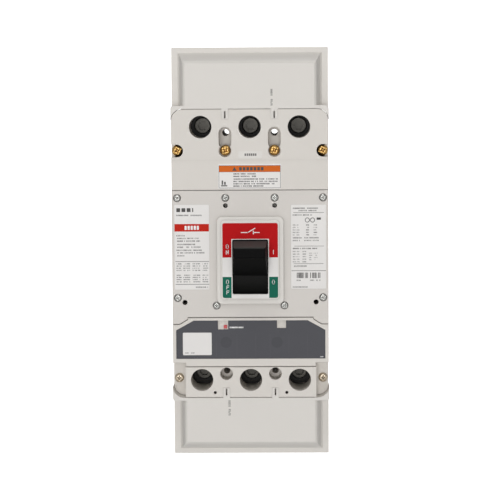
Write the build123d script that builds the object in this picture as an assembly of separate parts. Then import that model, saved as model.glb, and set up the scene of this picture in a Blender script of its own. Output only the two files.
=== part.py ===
from build123d import *
import math
import os

# Three-pole molded case breaker with extended terminal shields.
# Millimetres.  X runs across the poles, Z from the load end up to the line end, and every
# depth is counted forwards from the back plane, so a depth d lies at Y = -d.
# The origin is the centre of the four mounting holes on the back plane.

# ---------------------------------------------------------------- overall sizes
WIDTH = 139.2  # across the case
HEIGHT = 257.3  # line end to load end of the case, without shields
COVER_FRONT = 100.0  # depth of the front of the covers
FACE_FRONT = 103.9  # depth of the front of the handle escutcheon
PARTING = 58.0  # depth of the joint between base and covers
POLE_PITCH = 43.7  # centre to centre of neighbouring poles
SHIELD_REACH = 54.65  # how far a terminal shield stands beyond the case end

# ---------------------------------------------------------------- walls and clearances
BASE_WALL = 4.0
BASE_FLOOR = 4.0
PARTITION = 5.0  # walls between the pole channels of the base
COVER_WALL = 3.0
COVER_PARTITION = 2.6
SHIELD_WALL = 2.5
TAB_WIDTH = 6.0  # tabs of a shield let into the end of a cover
TAB_REACH = 8.6
TAB_SINK = 0.9
TAB_SLOT = (1.4, 6.2)  # slot for a phase barrier, through a tab and into the cover
TAB_SLOT_INSET = 4.9
CASE_CORNER = 10.0  # rounded corners of the case seen from the front
EDGE_ROUND = 0.8  # rounding of moulded front edges
SEAM = 0.25  # each side of a moulded seam
TOUCH = 0.1  # gap of pieces laid against each other
RUN = 0.05  # radial clearance of a running fit
PASS = 0.4  # gap between pieces that move past each other

# ---------------------------------------------------------------- terminals and fixings
MOUNT_INSET = 21.35  # mounting holes from the case end
MOUNT_RADIUS = 3.0
MOUNT_HEAD_RADIUS = 5.65
MOUNT_HEAD_DEPTH = 79.0  # depth of the seat under a mounting screw's head
MOUNT_BOSS = 6.6
TERMINAL_INSET = 15.75  # terminal access holes from the case end
ACCESS_RADIUS = 10.0
ACCESS_WALL = 2.2
ACCESS_INNER = 64.0  # depth at which an access well ends
LINE_SCREW_INSET = 36.75  # line end cover screws from the case end
LOAD_SCREW_INSET = 15.85
EDGE_SCREW_INSET = 4.9  # outer screws from the case side
SCREW_BOSS = 4.6
COVER_SHANK = 2.2
COVER_SCREW_REACH = 50.0  # length of a cover screw's shank
LINE_HEAD = (4.85, 2.7)  # radius and height of a line end screw head
LINE_HEAD_SEAT = 88.4
LOAD_HEAD = (4.2, 2.6)
LOAD_HEAD_SEAT = 84.9
LID_HEAD = (3.3, 1.9)
LID_SHANK = 1.5
LID_SEAT_SINK = 1.2  # how deep a lid screw's head seat lies below the lid front

# ---------------------------------------------------------------- covers
LID_TOP = 57.0  # seam between line end cover and accessory lid
BAY_FLOOR = 84.0  # depth of the floor under the accessory lid
BAY_FLOOR_WALL = 3.0
LABEL_STEP_TOP = 83.9  # the strip above the lid is sunk up to here
LABEL_STEP_SINK = 0.4
TRIP_TOP = -62.8  # seam between lid and trip unit, at the sides
TRIP_TOP_MIDDLE = -56.7
TRIP_SLOPE = (63.3, 56.1)  # half widths between which the seam slopes up
LATCH_WAY = 18.5  # half width of the way between mechanism and trip unit
LOAD_COVER_INSET = 27.65  # seam between trip unit and load end cover, from the case end
POCKET_TOP_INSET = 30.95  # top of the corner pockets from the case end
POCKET_SIDE = 58.4  # inner side of the corner pockets

# ---------------------------------------------------------------- escutcheon and handle
HANDLE_DEPTH = 65.0  # depth of the handle's pivot
HANDLE_Z = -11.1
HANDLE_TILT = 12.0  # each way from the middle, on at rest
SLIDE_RADIUS = 36.0
SLIDE_WALL = 1.5
SLIDE_SPREAD = 58.0  # half angle covered by the slide
SLIDE_HALF = 19.0
LEVER_TIP_RADIUS = 76.6
LEVER_ROOT_RADIUS = 39.0
LEVER_ROOT_HALF = 15.6
LEVER_TIP_HALF = 4.4
LEVER_WIDTH_ROOT = 15.1
LEVER_WIDTH_TIP = 13.9
STUB_HALF = (9.0, 8.0)  # the lever's stub through the slide, across and up
YOKE_RADIUS = 29.5  # outer face of the yoke's bridge
YOKE_PLATE = 1.6
OPENING = (31.7, 48.6)
ESCUTCHEON = (59.6, 78.1)
ESCUTCHEON_Z = -5.45
ESCUTCHEON_FLANGE = 102.4
ESCUTCHEON_RISE = (51.8, 70.6)
ESCUTCHEON_RISE_Z = -4.8
ESCUTCHEON_PLATE = 101.35  # depth of the escutcheon's inner face
HANDLE_LABEL = (49.2, 66.9)
HANDLE_LABEL_Z = -5.35
STICKER = 0.25

# ---------------------------------------------------------------- contacts
CROSSBAR_DEPTH = 30.0
CROSSBAR_Z = -22.0
CROSSBAR_RADIUS = 8.0
CARRIER_HALF = 11.2
CARRIER_REACH = 11.0
ARM_HALF = 3.0
ARM_FRONT = 34.6
CONDUCTOR_BACK = 8.0
CONDUCTOR = 3.0
CONDUCTOR_HALF = 8.0
TIP_Z = (42.0, 50.0)
TIP_HALF = 4.0
TIP_THICK = 2.5
TIP_GAP = 0.2
LUG_HALF = 14.4
LUG_FRONT = 42.0
LUG_LENGTH = 28.0
LUG_END_GAP = 4.5  # lug face from the case end
WIRE_RADIUS = 10.0
WIRE_DEPTH = 24.0
SET_SCREW_RADIUS = 7.5
SET_SCREW_FRONT = 45.0
SET_SCREW_LENGTH = 10.0
HEX_FLATS = 8.0

# ---------------------------------------------------------------- mechanism
FRAME_HALF = 14.5  # inner faces of the mechanism's side plates
FRAME_PLATE = 2.0
CRADLE_HALF = 3.5
CRADLE_PIVOT = (72.0, 16.0)  # depth and height
CRADLE_PIN = 2.5
UPPER_PIVOT = (64.0, -29.0)
UPPER_LENGTH = 17.0
LOWER_LENGTH = 19.0
CRANK = (6.0, 14.0)  # crank pin from the crossbar's axis
LINK_PIN = 2.0
LINK_EYE = 4.2
LINK_PLATE = 1.6
UPPER_INNER = 3.9
LOWER_INNER = 11.6
SPRING_X = 8.5
SPRING_RADIUS = 2.5
SPRING_WIRE = 0.7
LATCH_PIVOT = (60.0, -54.0)
LATCH_HALF = 5.0

# ---------------------------------------------------------------- arc chutes
ARC_PLATES = 9
ARC_PLATE = 1.2
ARC_BACK = 16.0
ARC_FRONT = 60.0
ARC_HALF = 15.0
ARC_WALL = 1.5
ARC_BOTTOM = 48.0

# ---------------------------------------------------------------- trip unit
TRIP_BAR = (60.0, -82.0)
TRIP_BAR_RADIUS = 3.5
TRIP_JOURNAL = 3.0
TRIP_BAR_HALF = 62.0
BUTTON = (-22.6, -65.0)
BUTTON_HALF = 1.5
BUTTON_STEM = 1.6
BUTTON_STEM_END = 68.0
NOTCH_SINK = 1.0
FACE_SINK = 0.8
FACE_PLATE = 0.5

SIDE = WIDTH / 2
END = HEIGHT / 2
WALL_X = POLE_PITCH / 2
POLES = {"left": -POLE_PITCH, "centre": 0.0, "right": POLE_PITCH}
MOUNT_Z = END - MOUNT_INSET
TERMINAL_Z = END - TERMINAL_INSET
LINE_SCREW_Z = END - LINE_SCREW_INSET
LOAD_SCREW_Z = -END + LOAD_SCREW_INSET
EDGE_SCREW_X = SIDE - EDGE_SCREW_INSET
LOAD_SEAM = -END + LOAD_COVER_INSET
POCKET_TOP = -END + POCKET_TOP_INSET
SHIELD_END = END + SHIELD_REACH
CONDUCTOR_FRONT = CONDUCTOR_BACK + CONDUCTOR
LINE_SCREWS = [(x, LINE_SCREW_Z) for x in (-EDGE_SCREW_X, -WALL_X, WALL_X, EDGE_SCREW_X)]
LOAD_SCREWS = [(x, LOAD_SCREW_Z) for x in (-EDGE_SCREW_X, EDGE_SCREW_X)]
LID_SCREWS = [(x, LID_TOP - 6.8) for x in (-EDGE_SCREW_X, -WALL_X, WALL_X, EDGE_SCREW_X)]
LID_SCREWS += [(x, -38.9) for x in (-EDGE_SCREW_X, EDGE_SCREW_X)]
LID_SCREWS += [(x, -45.9) for x in (-ESCUTCHEON[0] / 2 - 0.4, ESCUTCHEON[0] / 2 + 0.4)]
# Small round holes through the lid and the bay floor: place from the middle, height, radius.
VENTS = ((WALL_X, LID_TOP - 13.7, 2.15), (EDGE_SCREW_X - 6.3, -43.0, 2.3))


# ---------------------------------------------------------------- building blocks
def from_front(sketch, d_low, d_high):
    """Solid with a face drawn across and up, reaching from one depth to another."""
    plane = Plane(origin=(0, -d_low, 0), x_dir=(1, 0, 0), z_dir=(0, -1, 0))
    return extrude(plane * sketch, amount=d_high - d_low)


def from_side(sketch, x_low, x_high):
    """Solid with a face drawn in depth and height, reaching across."""
    plane = Plane(origin=(x_high, 0, 0), x_dir=(0, -1, 0), z_dir=(-1, 0, 0))
    return extrude(plane * sketch, amount=x_high - x_low)


def from_end(sketch, z_low, z_high):
    """Solid with a face drawn across and in depth, reaching in height."""
    plane = Plane(origin=(0, 0, z_high), x_dir=(1, 0, 0), z_dir=(0, 0, -1))
    return extrude(plane * sketch, amount=z_high - z_low)


def block(x, d, z):
    """Box between a low and a high limit across, in depth and in height."""
    size = (x[1] - x[0], d[1] - d[0], z[1] - z[0])
    return Pos((x[0] + x[1]) / 2, -(d[0] + d[1]) / 2, (z[0] + z[1]) / 2) * Box(*size)


def post(x, z, radius, d_low, d_high):
    """Round bar standing out of the back plane."""
    return from_front(Pos(x, z) * Circle(radius), d_low, d_high)


def shaft(point, radius, x_low, x_high):
    """Round bar lying across the poles at a depth and height."""
    return from_side(Pos(*point) * Circle(radius), x_low, x_high)


def outline(*points):
    """Face with straight edges through the points."""
    return make_face(Polyline(*points, close=True))


def mirrored(points):
    """Points followed by their mirror images across the middle, in reverse order."""
    return list(points) + [(-x, z) for x, z in reversed(points)]


def both(solid):
    """The solid and its mirror image across the middle."""
    return [solid, mirror(solid, about=Plane.YZ)]


def joined(pieces):
    """All pieces fused to one solid."""
    whole = pieces[0]
    for piece in pieces[1:]:
        whole += piece
    return whole


def case_outline(margin=0.0):
    """Front outline of the case, smaller all round by the margin."""
    return RectangleRounded(WIDTH - 2 * margin, HEIGHT - 2 * margin, CASE_CORNER - margin)


def front_edges(solid, depth):
    """Outer edges of a flat front at the depth."""
    face = solid.faces().filter_by(Axis.Y).group_by(Axis.Y)[0].sort_by(SortBy.AREA)[-1]
    return [edge for edge in face.outer_wire().edges() if abs(edge.center().Y + depth) < 0.01]


def trip_seam(offset):
    """Right half of the seam over the trip unit, moved up by the offset."""
    outer, inner = TRIP_SLOPE
    slope_bottom = TRIP_TOP_MIDDLE - 1.7
    return [(SIDE, TRIP_TOP + offset), (outer, TRIP_TOP + offset),
            (inner, slope_bottom + offset), (inner - 0.3, TRIP_TOP_MIDDLE + offset)]


def coil(length, radius, wire):
    """Close-wound spring standing on the origin, as a stack of round turns."""
    turns = int(length / (2 * wire))
    pitch = length / turns
    start = radius - 2 * wire
    rows = [Pos(radius - wire, pitch * (turn + 0.5)) * Circle(pitch / 2) for turn in range(turns)]
    wall = Pos(start + wire, length / 2) * Rectangle(wire, length)
    return revolve(Plane.XZ * joined([wall] + rows), Axis.Z)


def coil_between(x, start, finish, radius, wire):
    """Spring at a place across, running from one depth and height to another."""
    low = Vector(x, -start[0], start[1])
    high = Vector(x, -finish[0], finish[1])
    way = high - low
    return Plane(origin=low, z_dir=way) * coil(way.length, radius, wire)


def pan_screw(x, z, head, seat, shank, reach):
    """Pan head screw with a cross recess, its head's underside on the seat."""
    radius, height = head
    body = post(x, z, radius, seat, seat + height)
    body = fillet(body.edges().filter_by(GeomType.CIRCLE).sort_by(Axis.Y)[0], height * 0.55)
    body += post(x, z, shank, seat - reach, seat)
    arm = radius * 0.62
    slot = radius * 0.16
    depth = (seat + height * 0.35, seat + height + 1)
    body -= block((x - arm, x + arm), depth, (z - slot, z + slot))
    body -= block((x - slot, x + slot), depth, (z - arm, z + arm))
    return body


def eye_bar(start, finish, eye, hole, x_low, x_high):
    """Flat link with a round eye at each end."""
    run = math.hypot(finish[0] - start[0], finish[1] - start[1])
    turn = math.degrees(math.atan2(finish[1] - start[1], finish[0] - start[0]))
    middle = ((start[0] + finish[0]) / 2, (start[1] + finish[1]) / 2)
    bar = from_side(Pos(*middle) * Rot(0, 0, turn) * Rectangle(run, 1.5 * eye), x_low, x_high)
    for point in (start, finish):
        bar += shaft(point, eye, x_low, x_high)
    bar -= shaft(start, hole[0], x_low - 1, x_high + 1)
    bar -= shaft(finish, hole[1], x_low - 1, x_high + 1)
    return bar


def about_handle(radius, angle):
    """Depth and height of a point at a radius and angle about the handle's pivot."""
    turn = math.radians(angle)
    return (HANDLE_DEPTH + radius * math.cos(turn), HANDLE_Z + radius * math.sin(turn))


def tilted(solid):
    """A solid drawn for the middle position, turned to where the handle rests."""
    pivot = Axis((0, -HANDLE_DEPTH, HANDLE_Z), (1, 0, 0))
    return solid.rotate(pivot, -HANDLE_TILT)


# ---------------------------------------------------------------- moulded case
def base():
    """Tub with three pole channels, bosses for the screws and windows for the cables."""
    tub = from_front(case_outline(), 0, PARTING)
    inner = SIDE - BASE_WALL
    edge = WALL_X - PARTITION / 2
    height = (-END + BASE_WALL, END - BASE_WALL)
    for channel in ((-inner, -WALL_X - PARTITION / 2), (-edge, edge), (WALL_X + PARTITION / 2, inner)):
        tub -= block(channel, (BASE_FLOOR, PARTING + 1), height)
    for z in (-MOUNT_Z, MOUNT_Z):
        for x in (-WALL_X, WALL_X):
            tub += post(x, z, MOUNT_BOSS, 0, PARTING)
            tub -= post(x, z, MOUNT_RADIUS, -1, PARTING + 1)
    for x, z in LINE_SCREWS + LOAD_SCREWS:
        tub += post(x, z, SCREW_BOSS, BASE_FLOOR, PARTING)
        tub -= post(x, z, COVER_SHANK + RUN, PARTING - 26, PARTING + 1)
    for pole in POLES.values():
        span = (pole - LUG_HALF - PASS, pole + LUG_HALF + PASS)
        pad = (pole - CONDUCTOR_HALF, pole + CONDUCTOR_HALF)
        for low, high in ((END - BASE_WALL - 1, END + 1), (-END - 1, -END + BASE_WALL + 1)):
            tub -= block(span, (CONDUCTOR_BACK, LUG_FRONT - 5), (low, high))
        for low, high in ((TIP_Z[0] - 2, TIP_Z[1] + 4), (MOUNT_Z - 6, END - BASE_WALL),
                          (-END + BASE_WALL, -MOUNT_Z + 6), (-62, -52)):
            tub += block(pad, (BASE_FLOOR, CONDUCTOR_BACK), (low, high))
    slot = CROSSBAR_RADIUS + PASS
    for x in (-WALL_X, WALL_X):
        wall = (x - PARTITION, x + PARTITION)
        tub -= shaft((CROSSBAR_DEPTH, CROSSBAR_Z), slot, *wall)
        tub -= block(wall, (CROSSBAR_DEPTH, PARTING + 1), (CROSSBAR_Z - slot, CROSSBAR_Z + slot))
        tub -= block(wall, (TRIP_BAR[0] - 12, PARTING + 1), (LOAD_SEAM + 4, TRIP_TOP))
        tub -= from_front(Pos(2 * x, 0) * RectangleRounded(24, 120, 6), -1, 1.2)
    tub -= from_front(Pos(0, 0) * RectangleRounded(24, 160, 6), -1, 1.2)
    return tub


def access_wells(side):
    """Tubes down to the terminal screws, at one end of the case, and their bores."""
    spots = [(pole, side * TERMINAL_Z) for pole in POLES.values()]
    wells = [post(x, z, ACCESS_RADIUS + ACCESS_WALL, ACCESS_INNER, COVER_FRONT - 1) for x, z in spots]
    bores = [post(x, z, ACCESS_RADIUS, PARTING - 1, COVER_FRONT + 1) for x, z in spots]
    return wells, bores


def tab_seat(x, z):
    """Shallow seat for a shield's tab at the end of a cover, with the barrier slot behind it."""
    seat = from_front(Pos(x, z) * Rectangle(TAB_WIDTH + 2 * SEAM, 2 * TAB_REACH + 2 * SEAM),
                      COVER_FRONT - TAB_SINK - TOUCH, COVER_FRONT + 1)
    inwards = math.copysign(TAB_SLOT_INSET, z)
    return seat + from_front(Pos(x, z - inwards) * Rectangle(*TAB_SLOT), COVER_FRONT - 12, COVER_FRONT)


def end_cover_shell(face, depth):
    """Plate of a cover pulled back to the parting plane, with rounded front edges."""
    solid = from_front(face, PARTING + TOUCH, depth)
    return fillet(front_edges(solid, depth), EDGE_ROUND)


def line_cover():
    """Line end cover: full depth over the terminals, with a sunk bay for the lid."""
    seam = mirrored(trip_seam(SEAM))
    face = case_outline() & outline(*seam, (-SIDE, END + 1), (SIDE, END + 1))
    shell = end_cover_shell(face, COVER_FRONT)
    wide = (-SIDE - 1, SIDE + 1)
    inner = (-SIDE + COVER_WALL, SIDE - COVER_WALL)
    shell -= block(wide, (BAY_FLOOR, COVER_FRONT + 1), (TRIP_TOP - 9, LID_TOP + SEAM))
    shell -= block(wide, (COVER_FRONT - LABEL_STEP_SINK, COVER_FRONT + 1),
                   (LID_TOP - 1, LABEL_STEP_TOP))
    low = TRIP_TOP_MIDDLE + COVER_WALL + SEAM
    shell -= block(inner, (PARTING - 1, BAY_FLOOR - BAY_FLOOR_WALL), (low, END - COVER_WALL))
    shell -= block(inner, (PARTING - 1, COVER_FRONT - COVER_WALL),
                   (LID_TOP + SEAM + COVER_WALL, END - COVER_WALL))
    for x in (-WALL_X, WALL_X):
        wall = (x - COVER_PARTITION / 2, x + COVER_PARTITION / 2)
        shell += block(wall, (PARTING + TOUCH, BAY_FLOOR - 1), (low - 1, END - 1))
        shell += block(wall, (PARTING + TOUCH, COVER_FRONT - 1), (LID_TOP + 2, END - 1))
        lobe = SlotCenterToCenter(MOUNT_Z - LINE_SCREW_Z, 2 * MOUNT_HEAD_RADIUS + 4, rotation=90)
        pocket = Pos(x, (MOUNT_Z + LINE_SCREW_Z) / 2) * lobe
        shell += from_front(pocket, PARTING + TOUCH, COVER_FRONT - 1)
        slot = SlotCenterToCenter(MOUNT_Z - LINE_SCREW_Z - 7, 2 * MOUNT_HEAD_RADIUS, rotation=90)
        middle = MOUNT_Z - (MOUNT_Z - LINE_SCREW_Z - 7) / 2
        shell -= from_front(Pos(x, middle) * slot, MOUNT_HEAD_DEPTH, COVER_FRONT + 1)
        shell -= post(x, MOUNT_Z, MOUNT_RADIUS, PARTING - 1, COVER_FRONT)
    for x, z in LINE_SCREWS:
        shell += post(x, z, SCREW_BOSS, PARTING + TOUCH, LINE_HEAD_SEAT)
        shell -= post(x, z, MOUNT_HEAD_RADIUS, LINE_HEAD_SEAT, COVER_FRONT + 1)
        shell -= post(x, z, COVER_SHANK + RUN, PARTING - 1, COVER_FRONT)
        if abs(x) > WALL_X + 1:
            way = (min(x, 2 * x), max(x, 2 * x))
            shell -= block(way, (LINE_HEAD_SEAT, COVER_FRONT + 1),
                           (z - MOUNT_HEAD_RADIUS, z + MOUNT_HEAD_RADIUS))
    for x, z in LID_SCREWS:
        shell -= post(x, z, LID_SHANK + RUN, BAY_FLOOR - BAY_FLOOR_WALL - 1, BAY_FLOOR + 1)
    for x, z, radius in VENTS:
        for side in (-1, 1):
            shell -= post(side * x, z, radius + 1.2, BAY_FLOOR - BAY_FLOOR_WALL - 1, BAY_FLOOR + 1)
    shell -= handle_window(BAY_FLOOR - BAY_FLOOR_WALL - 1, BAY_FLOOR + 1)
    shell -= block((-LATCH_WAY, LATCH_WAY), (PARTING - 1, BAY_FLOOR - BAY_FLOOR_WALL),
                   (TRIP_TOP, low + 1))
    wells, bores = access_wells(1)
    for well in wells:
        shell += well
    for bore in bores:
        shell -= bore
    for x in (-WALL_X, WALL_X):
        shell -= tab_seat(x, END)
    return shell & from_front(face, PARTING, COVER_FRONT)


def handle_window(d_low, d_high):
    """Clear way for the handle's slide through a plate."""
    reach = math.sqrt((SLIDE_RADIUS + 1) ** 2 - (BAY_FLOOR - BAY_FLOOR_WALL - HANDLE_DEPTH) ** 2)
    half = SLIDE_HALF + 1
    return block((-half, half), (d_low, d_high), (HANDLE_Z - reach, HANDLE_Z + reach))


def load_cover():
    """Load end cover with its terminal wells, mounting seats and open corner pockets."""
    step = [(SIDE, POCKET_TOP - SEAM), (POCKET_SIDE + SEAM, POCKET_TOP - SEAM),
            (POCKET_SIDE + SEAM, LOAD_SEAM - SEAM)]
    face = case_outline() & outline(*mirrored(step), (-SIDE, -END - 1), (SIDE, -END - 1))
    shell = end_cover_shell(face, COVER_FRONT)
    inner = (-SIDE + COVER_WALL, SIDE - COVER_WALL)
    depth = (PARTING - 1, COVER_FRONT - COVER_WALL)
    shell -= block(inner, depth, (-END + COVER_WALL, LOAD_SEAM - SEAM - COVER_WALL))
    for side in (-1, 1):
        x_pocket = sorted((side * (SIDE + 1), side * POCKET_SIDE))
        shell += block(sorted((side * (SIDE - 1), side * (POCKET_SIDE - COVER_WALL))),
                       (PARTING + TOUCH, COVER_FRONT - 1), (-END + 1, LOAD_SEAM - 1))
        shell -= block(x_pocket, (LOAD_HEAD_SEAT, COVER_FRONT + 1), (-END - 1, POCKET_TOP + 1))
        x = side * WALL_X
        wall = (x - COVER_PARTITION / 2, x + COVER_PARTITION / 2)
        shell += block(wall, (PARTING + TOUCH, COVER_FRONT - 1), (-END + 1, LOAD_SEAM - 1))
        shell += post(x, -MOUNT_Z, MOUNT_HEAD_RADIUS + 2, PARTING + TOUCH, COVER_FRONT - 1)
        shell -= post(x, -MOUNT_Z, MOUNT_HEAD_RADIUS, MOUNT_HEAD_DEPTH, COVER_FRONT + 1)
        shell -= post(x, -MOUNT_Z, MOUNT_RADIUS, PARTING - 1, COVER_FRONT)
        shell -= post(side * 32.0, -END + 4.4, 1.4, COVER_FRONT - 12, COVER_FRONT + 1)
        shell -= tab_seat(x, -END)
    for x, z in LOAD_SCREWS:
        shell -= post(x, z, COVER_SHANK + RUN, PARTING - 1, COVER_FRONT)
    wells, bores = access_wells(-1)
    for well in wells:
        shell += well
    for bore in bores:
        shell -= bore
    return shell & from_front(face, PARTING, COVER_FRONT)


def accessory_lid():
    """Lid over the accessory bay, from the line seam down to the trip unit."""
    bottom = mirrored(trip_seam(SEAM))
    face = outline(*bottom, (-SIDE, LID_TOP - SEAM), (SIDE, LID_TOP - SEAM))
    solid = from_front(face, BAY_FLOOR + TOUCH, COVER_FRONT)
    solid = fillet(front_edges(solid, COVER_FRONT), EDGE_ROUND)
    inner = (-SIDE + COVER_WALL, SIDE - COVER_WALL)
    room = (TRIP_TOP_MIDDLE + SEAM + COVER_WALL, LID_TOP - SEAM - COVER_WALL)
    solid -= block(inner, (BAY_FLOOR - 1, COVER_FRONT - COVER_WALL), room)
    for x, z in LID_SCREWS:
        solid += post(x, z, LID_HEAD[0] + 1.2, BAY_FLOOR + TOUCH, COVER_FRONT - 1)
        solid -= post(x, z, LID_HEAD[0] + 0.3, COVER_FRONT - LID_SEAT_SINK, COVER_FRONT + 1)
        solid -= post(x, z, LID_SHANK + RUN, BAY_FLOOR - 1, COVER_FRONT)
        solid = solid & from_front(face, BAY_FLOOR + TOUCH, COVER_FRONT)
    for x, z, radius in VENTS:
        for side in (-1, 1):
            solid += post(side * x, z, radius + 1.5, COVER_FRONT - 14, COVER_FRONT - 1)
            solid -= post(side * x, z, radius, COVER_FRONT - 15, COVER_FRONT + 1)
    solid -= handle_window(BAY_FLOOR - 1, COVER_FRONT + 1)
    solid -= from_front(Pos(0, ESCUTCHEON_Z) * RectangleRounded(*grown(ESCUTCHEON, -6), 3),
                        COVER_FRONT - 1.5, COVER_FRONT + 1)
    return solid


def grown(size, amount):
    """A width and height with the amount added to both."""
    return (size[0] + amount, size[1] + amount)


def escutcheon():
    """Raised frame round the handle, with a raised field for its label."""
    flange = from_front(Pos(0, ESCUTCHEON_Z) * RectangleRounded(*ESCUTCHEON, 5),
                        COVER_FRONT + TOUCH, ESCUTCHEON_FLANGE)
    flange = fillet(front_edges(flange, ESCUTCHEON_FLANGE), EDGE_ROUND)
    rise = from_front(Pos(0, ESCUTCHEON_RISE_Z) * RectangleRounded(*ESCUTCHEON_RISE, 3),
                      COVER_FRONT + TOUCH, FACE_FRONT - STICKER)
    rise = fillet(front_edges(rise, FACE_FRONT - STICKER), EDGE_ROUND / 2)
    frame = flange + rise
    frame += from_front(Pos(0, ESCUTCHEON_Z) * RectangleRounded(*grown(ESCUTCHEON, -6.6), 2.7),
                        COVER_FRONT - 1.4, COVER_FRONT + 1)
    half = SLIDE_HALF + 1
    frame -= block((-half, half), (COVER_FRONT - 5, ESCUTCHEON_PLATE),
                   (HANDLE_Z - OPENING[1] / 2 - 7, HANDLE_Z + OPENING[1] / 2 + 7))
    opening = RectangleRounded(*OPENING, 1.2)
    frame -= from_front(Pos(0, HANDLE_Z) * opening, COVER_FRONT - 5, FACE_FRONT + 1)
    return frame


def handle_label():
    """Thin printed label round the handle opening."""
    face = Pos(0, HANDLE_LABEL_Z) * RectangleRounded(*HANDLE_LABEL, 1.5)
    face -= Pos(0, HANDLE_Z) * RectangleRounded(*grown(OPENING, 0.6), 1.5)
    return from_front(face, FACE_FRONT - STICKER, FACE_FRONT)


def sticker(x, z, depth, corner=0.8):
    """Thin label between limits across and up, laid on a front at a depth."""
    face = Pos((x[0] + x[1]) / 2, (z[0] + z[1]) / 2) * RectangleRounded(x[1] - x[0], z[1] - z[0], corner)
    return from_front(face, depth, depth + STICKER)


# ---------------------------------------------------------------- terminal shields
def shield_section(inset):
    """Cross section of a shield over the cables, in width and depth."""
    reach = SIDE + 0.4 - inset
    rim = 78.0 - inset
    crease = reach - 5.5
    crown = SIDE - 11.0 - inset
    front = COVER_FRONT - inset
    half = [(reach, -1), (reach, rim), (crease, rim), (crease - 1.6, rim + 2.2),
            (crown + 1.1, front - 3.0), (crown, front - 0.9), (crown - 1.4, front)]
    return outline(*[(x, d) for x, d in half], *[(-x, d) for x, d in reversed(half)])


def shield_profile(inset):
    """Lengthways section of a shield, in depth and height."""
    tip = SHIELD_END - inset
    rim = 78.0 - inset
    front = COVER_FRONT - inset
    brow = END + 40.9 - inset
    return outline((-1, END - 20), (-1, tip), (rim, tip), (rim, tip - 4.6), (rim + 1.4, tip - 5.4),
                   (front - 2.2, brow + 1.6), (front, brow - 0.6), (front, END - 20))


def shield():
    """Line side shield: a hood over the cables, hooked round the corners of the cover."""
    face_margin = SEAM + 0.1
    wide = SIDE + 1
    hood = from_end(shield_section(0), END + face_margin, SHIELD_END + 1)
    hood = hood & from_side(shield_profile(0), -wide, wide)
    room = from_end(shield_section(SHIELD_WALL), END - 1, SHIELD_END + 1)
    room = room & from_side(shield_profile(SHIELD_WALL), -wide, wide)
    band = from_front(Pos(0, END - 4.2) * RectangleRounded(WIDTH + 0.8, 14.8, 2.6), 76, COVER_FRONT)
    band = fillet(front_edges(band, COVER_FRONT), EDGE_ROUND)
    band -= from_front(case_outline(-face_margin), -1, COVER_FRONT + 1)
    body = hood + band
    room -= block((-wide, wide), (-1, COVER_FRONT + 1), (END - 2, END + SHIELD_WALL))
    body -= room
    body -= block((-SIDE + 6, SIDE - 6), (-1, LOAD_HEAD_SEAT - 3.5), (END - 1, END + SHIELD_WALL + 1))
    body = body & block((-wide, wide), (0.2, COVER_FRONT + 5), (0, SHIELD_END + 1))
    for x in (-WALL_X, WALL_X):
        rib = block((x - 1.25, x + 1.25), (4, COVER_FRONT - 1), (END + 4, SHIELD_END - 1))
        body += rib & from_side(shield_profile(1), -wide, wide)
        middle = END - TAB_REACH / 2 + 0.7
        tongue = Pos(x, middle) * Rectangle(TAB_WIDTH, TAB_REACH + 1.4)
        tab = from_front(tongue, COVER_FRONT - TAB_SINK, COVER_FRONT)
        tab -= from_front(Pos(x, END - TAB_SLOT_INSET) * Rectangle(*TAB_SLOT), COVER_FRONT - 2, COVER_FRONT + 1)
        body += tab
    for pole in POLES.values():
        half = WIRE_RADIUS + 5
        body -= block((pole - half, pole + half), (-1, WIRE_DEPTH + half), (SHIELD_END - 4, SHIELD_END + 2))
        body -= from_end(Pos(pole, WIRE_DEPTH + 4) * Circle(half), SHIELD_END - 4, SHIELD_END + 2)
    return body


# ---------------------------------------------------------------- trip unit
def trip_housing():
    """Front shell of the trip unit, with its rim, sunk face and bearings for the trip bar."""
    top = mirrored(trip_seam(-SEAM))
    low = [(-SIDE, POCKET_TOP + SEAM), (-POCKET_SIDE + SEAM, POCKET_TOP + SEAM),
           (-POCKET_SIDE + SEAM, LOAD_SEAM + SEAM)]
    face = outline(*top, *low, *[(-x, z) for x, z in reversed(low)])
    shell = from_front(face, PARTING + TOUCH, COVER_FRONT)
    shell = fillet(front_edges(shell, COVER_FRONT), EDGE_ROUND)
    depth = (PARTING - 1, COVER_FRONT - COVER_WALL)
    bottom = POCKET_TOP + SEAM + COVER_WALL
    for half, ceiling in ((POCKET_SIDE + 4, TRIP_TOP), (TRIP_SLOPE[1] - COVER_WALL, TRIP_TOP_MIDDLE)):
        shell -= block((-half, half), depth, (bottom, ceiling - SEAM - COVER_WALL))
    shell -= block((-LATCH_WAY, LATCH_WAY), (PARTING - 1, BAY_FLOOR), (bottom, TRIP_TOP_MIDDLE + 1))
    shell -= from_front(trip_face(0), COVER_FRONT - FACE_SINK, COVER_FRONT + 1)
    for side in (-1, 1):
        rib = sorted((side * 59.5, side * 61.5))
        shell += block(rib, (PARTING + TOUCH, COVER_FRONT - 2), (TRIP_BAR[1] - 8, TRIP_BAR[1] + 8))
        shell -= shaft(TRIP_BAR, TRIP_JOURNAL + RUN, *sorted((side * 58, side * 64)))
    x, z = BUTTON
    shell -= notch(0, COVER_FRONT - FACE_SINK - NOTCH_SINK)
    hole = BUTTON_HALF + RUN
    shell -= block((x - hole, x + hole), (COVER_FRONT - 12, COVER_FRONT + 1), (z - hole, z + hole))
    rib = block((x - 4, x + 4), (COVER_FRONT - 12, COVER_FRONT - 10), (z - 4, TRIP_TOP + 3.2))
    rib -= post(x, z, BUTTON_STEM + RUN, COVER_FRONT - 13, COVER_FRONT - 9)
    shell += rib
    return shell


def trip_face(margin):
    """Outline of the printed face, smaller by the margin."""
    right = [(SIDE - 3.0 - margin, LOAD_SEAM + 7.2 + margin), (SIDE - 3.0 - margin, TRIP_TOP - 5.2 - margin),
             (50.9 - margin, TRIP_TOP + 3.5 - margin)]
    return outline(*mirrored(right))


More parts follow.
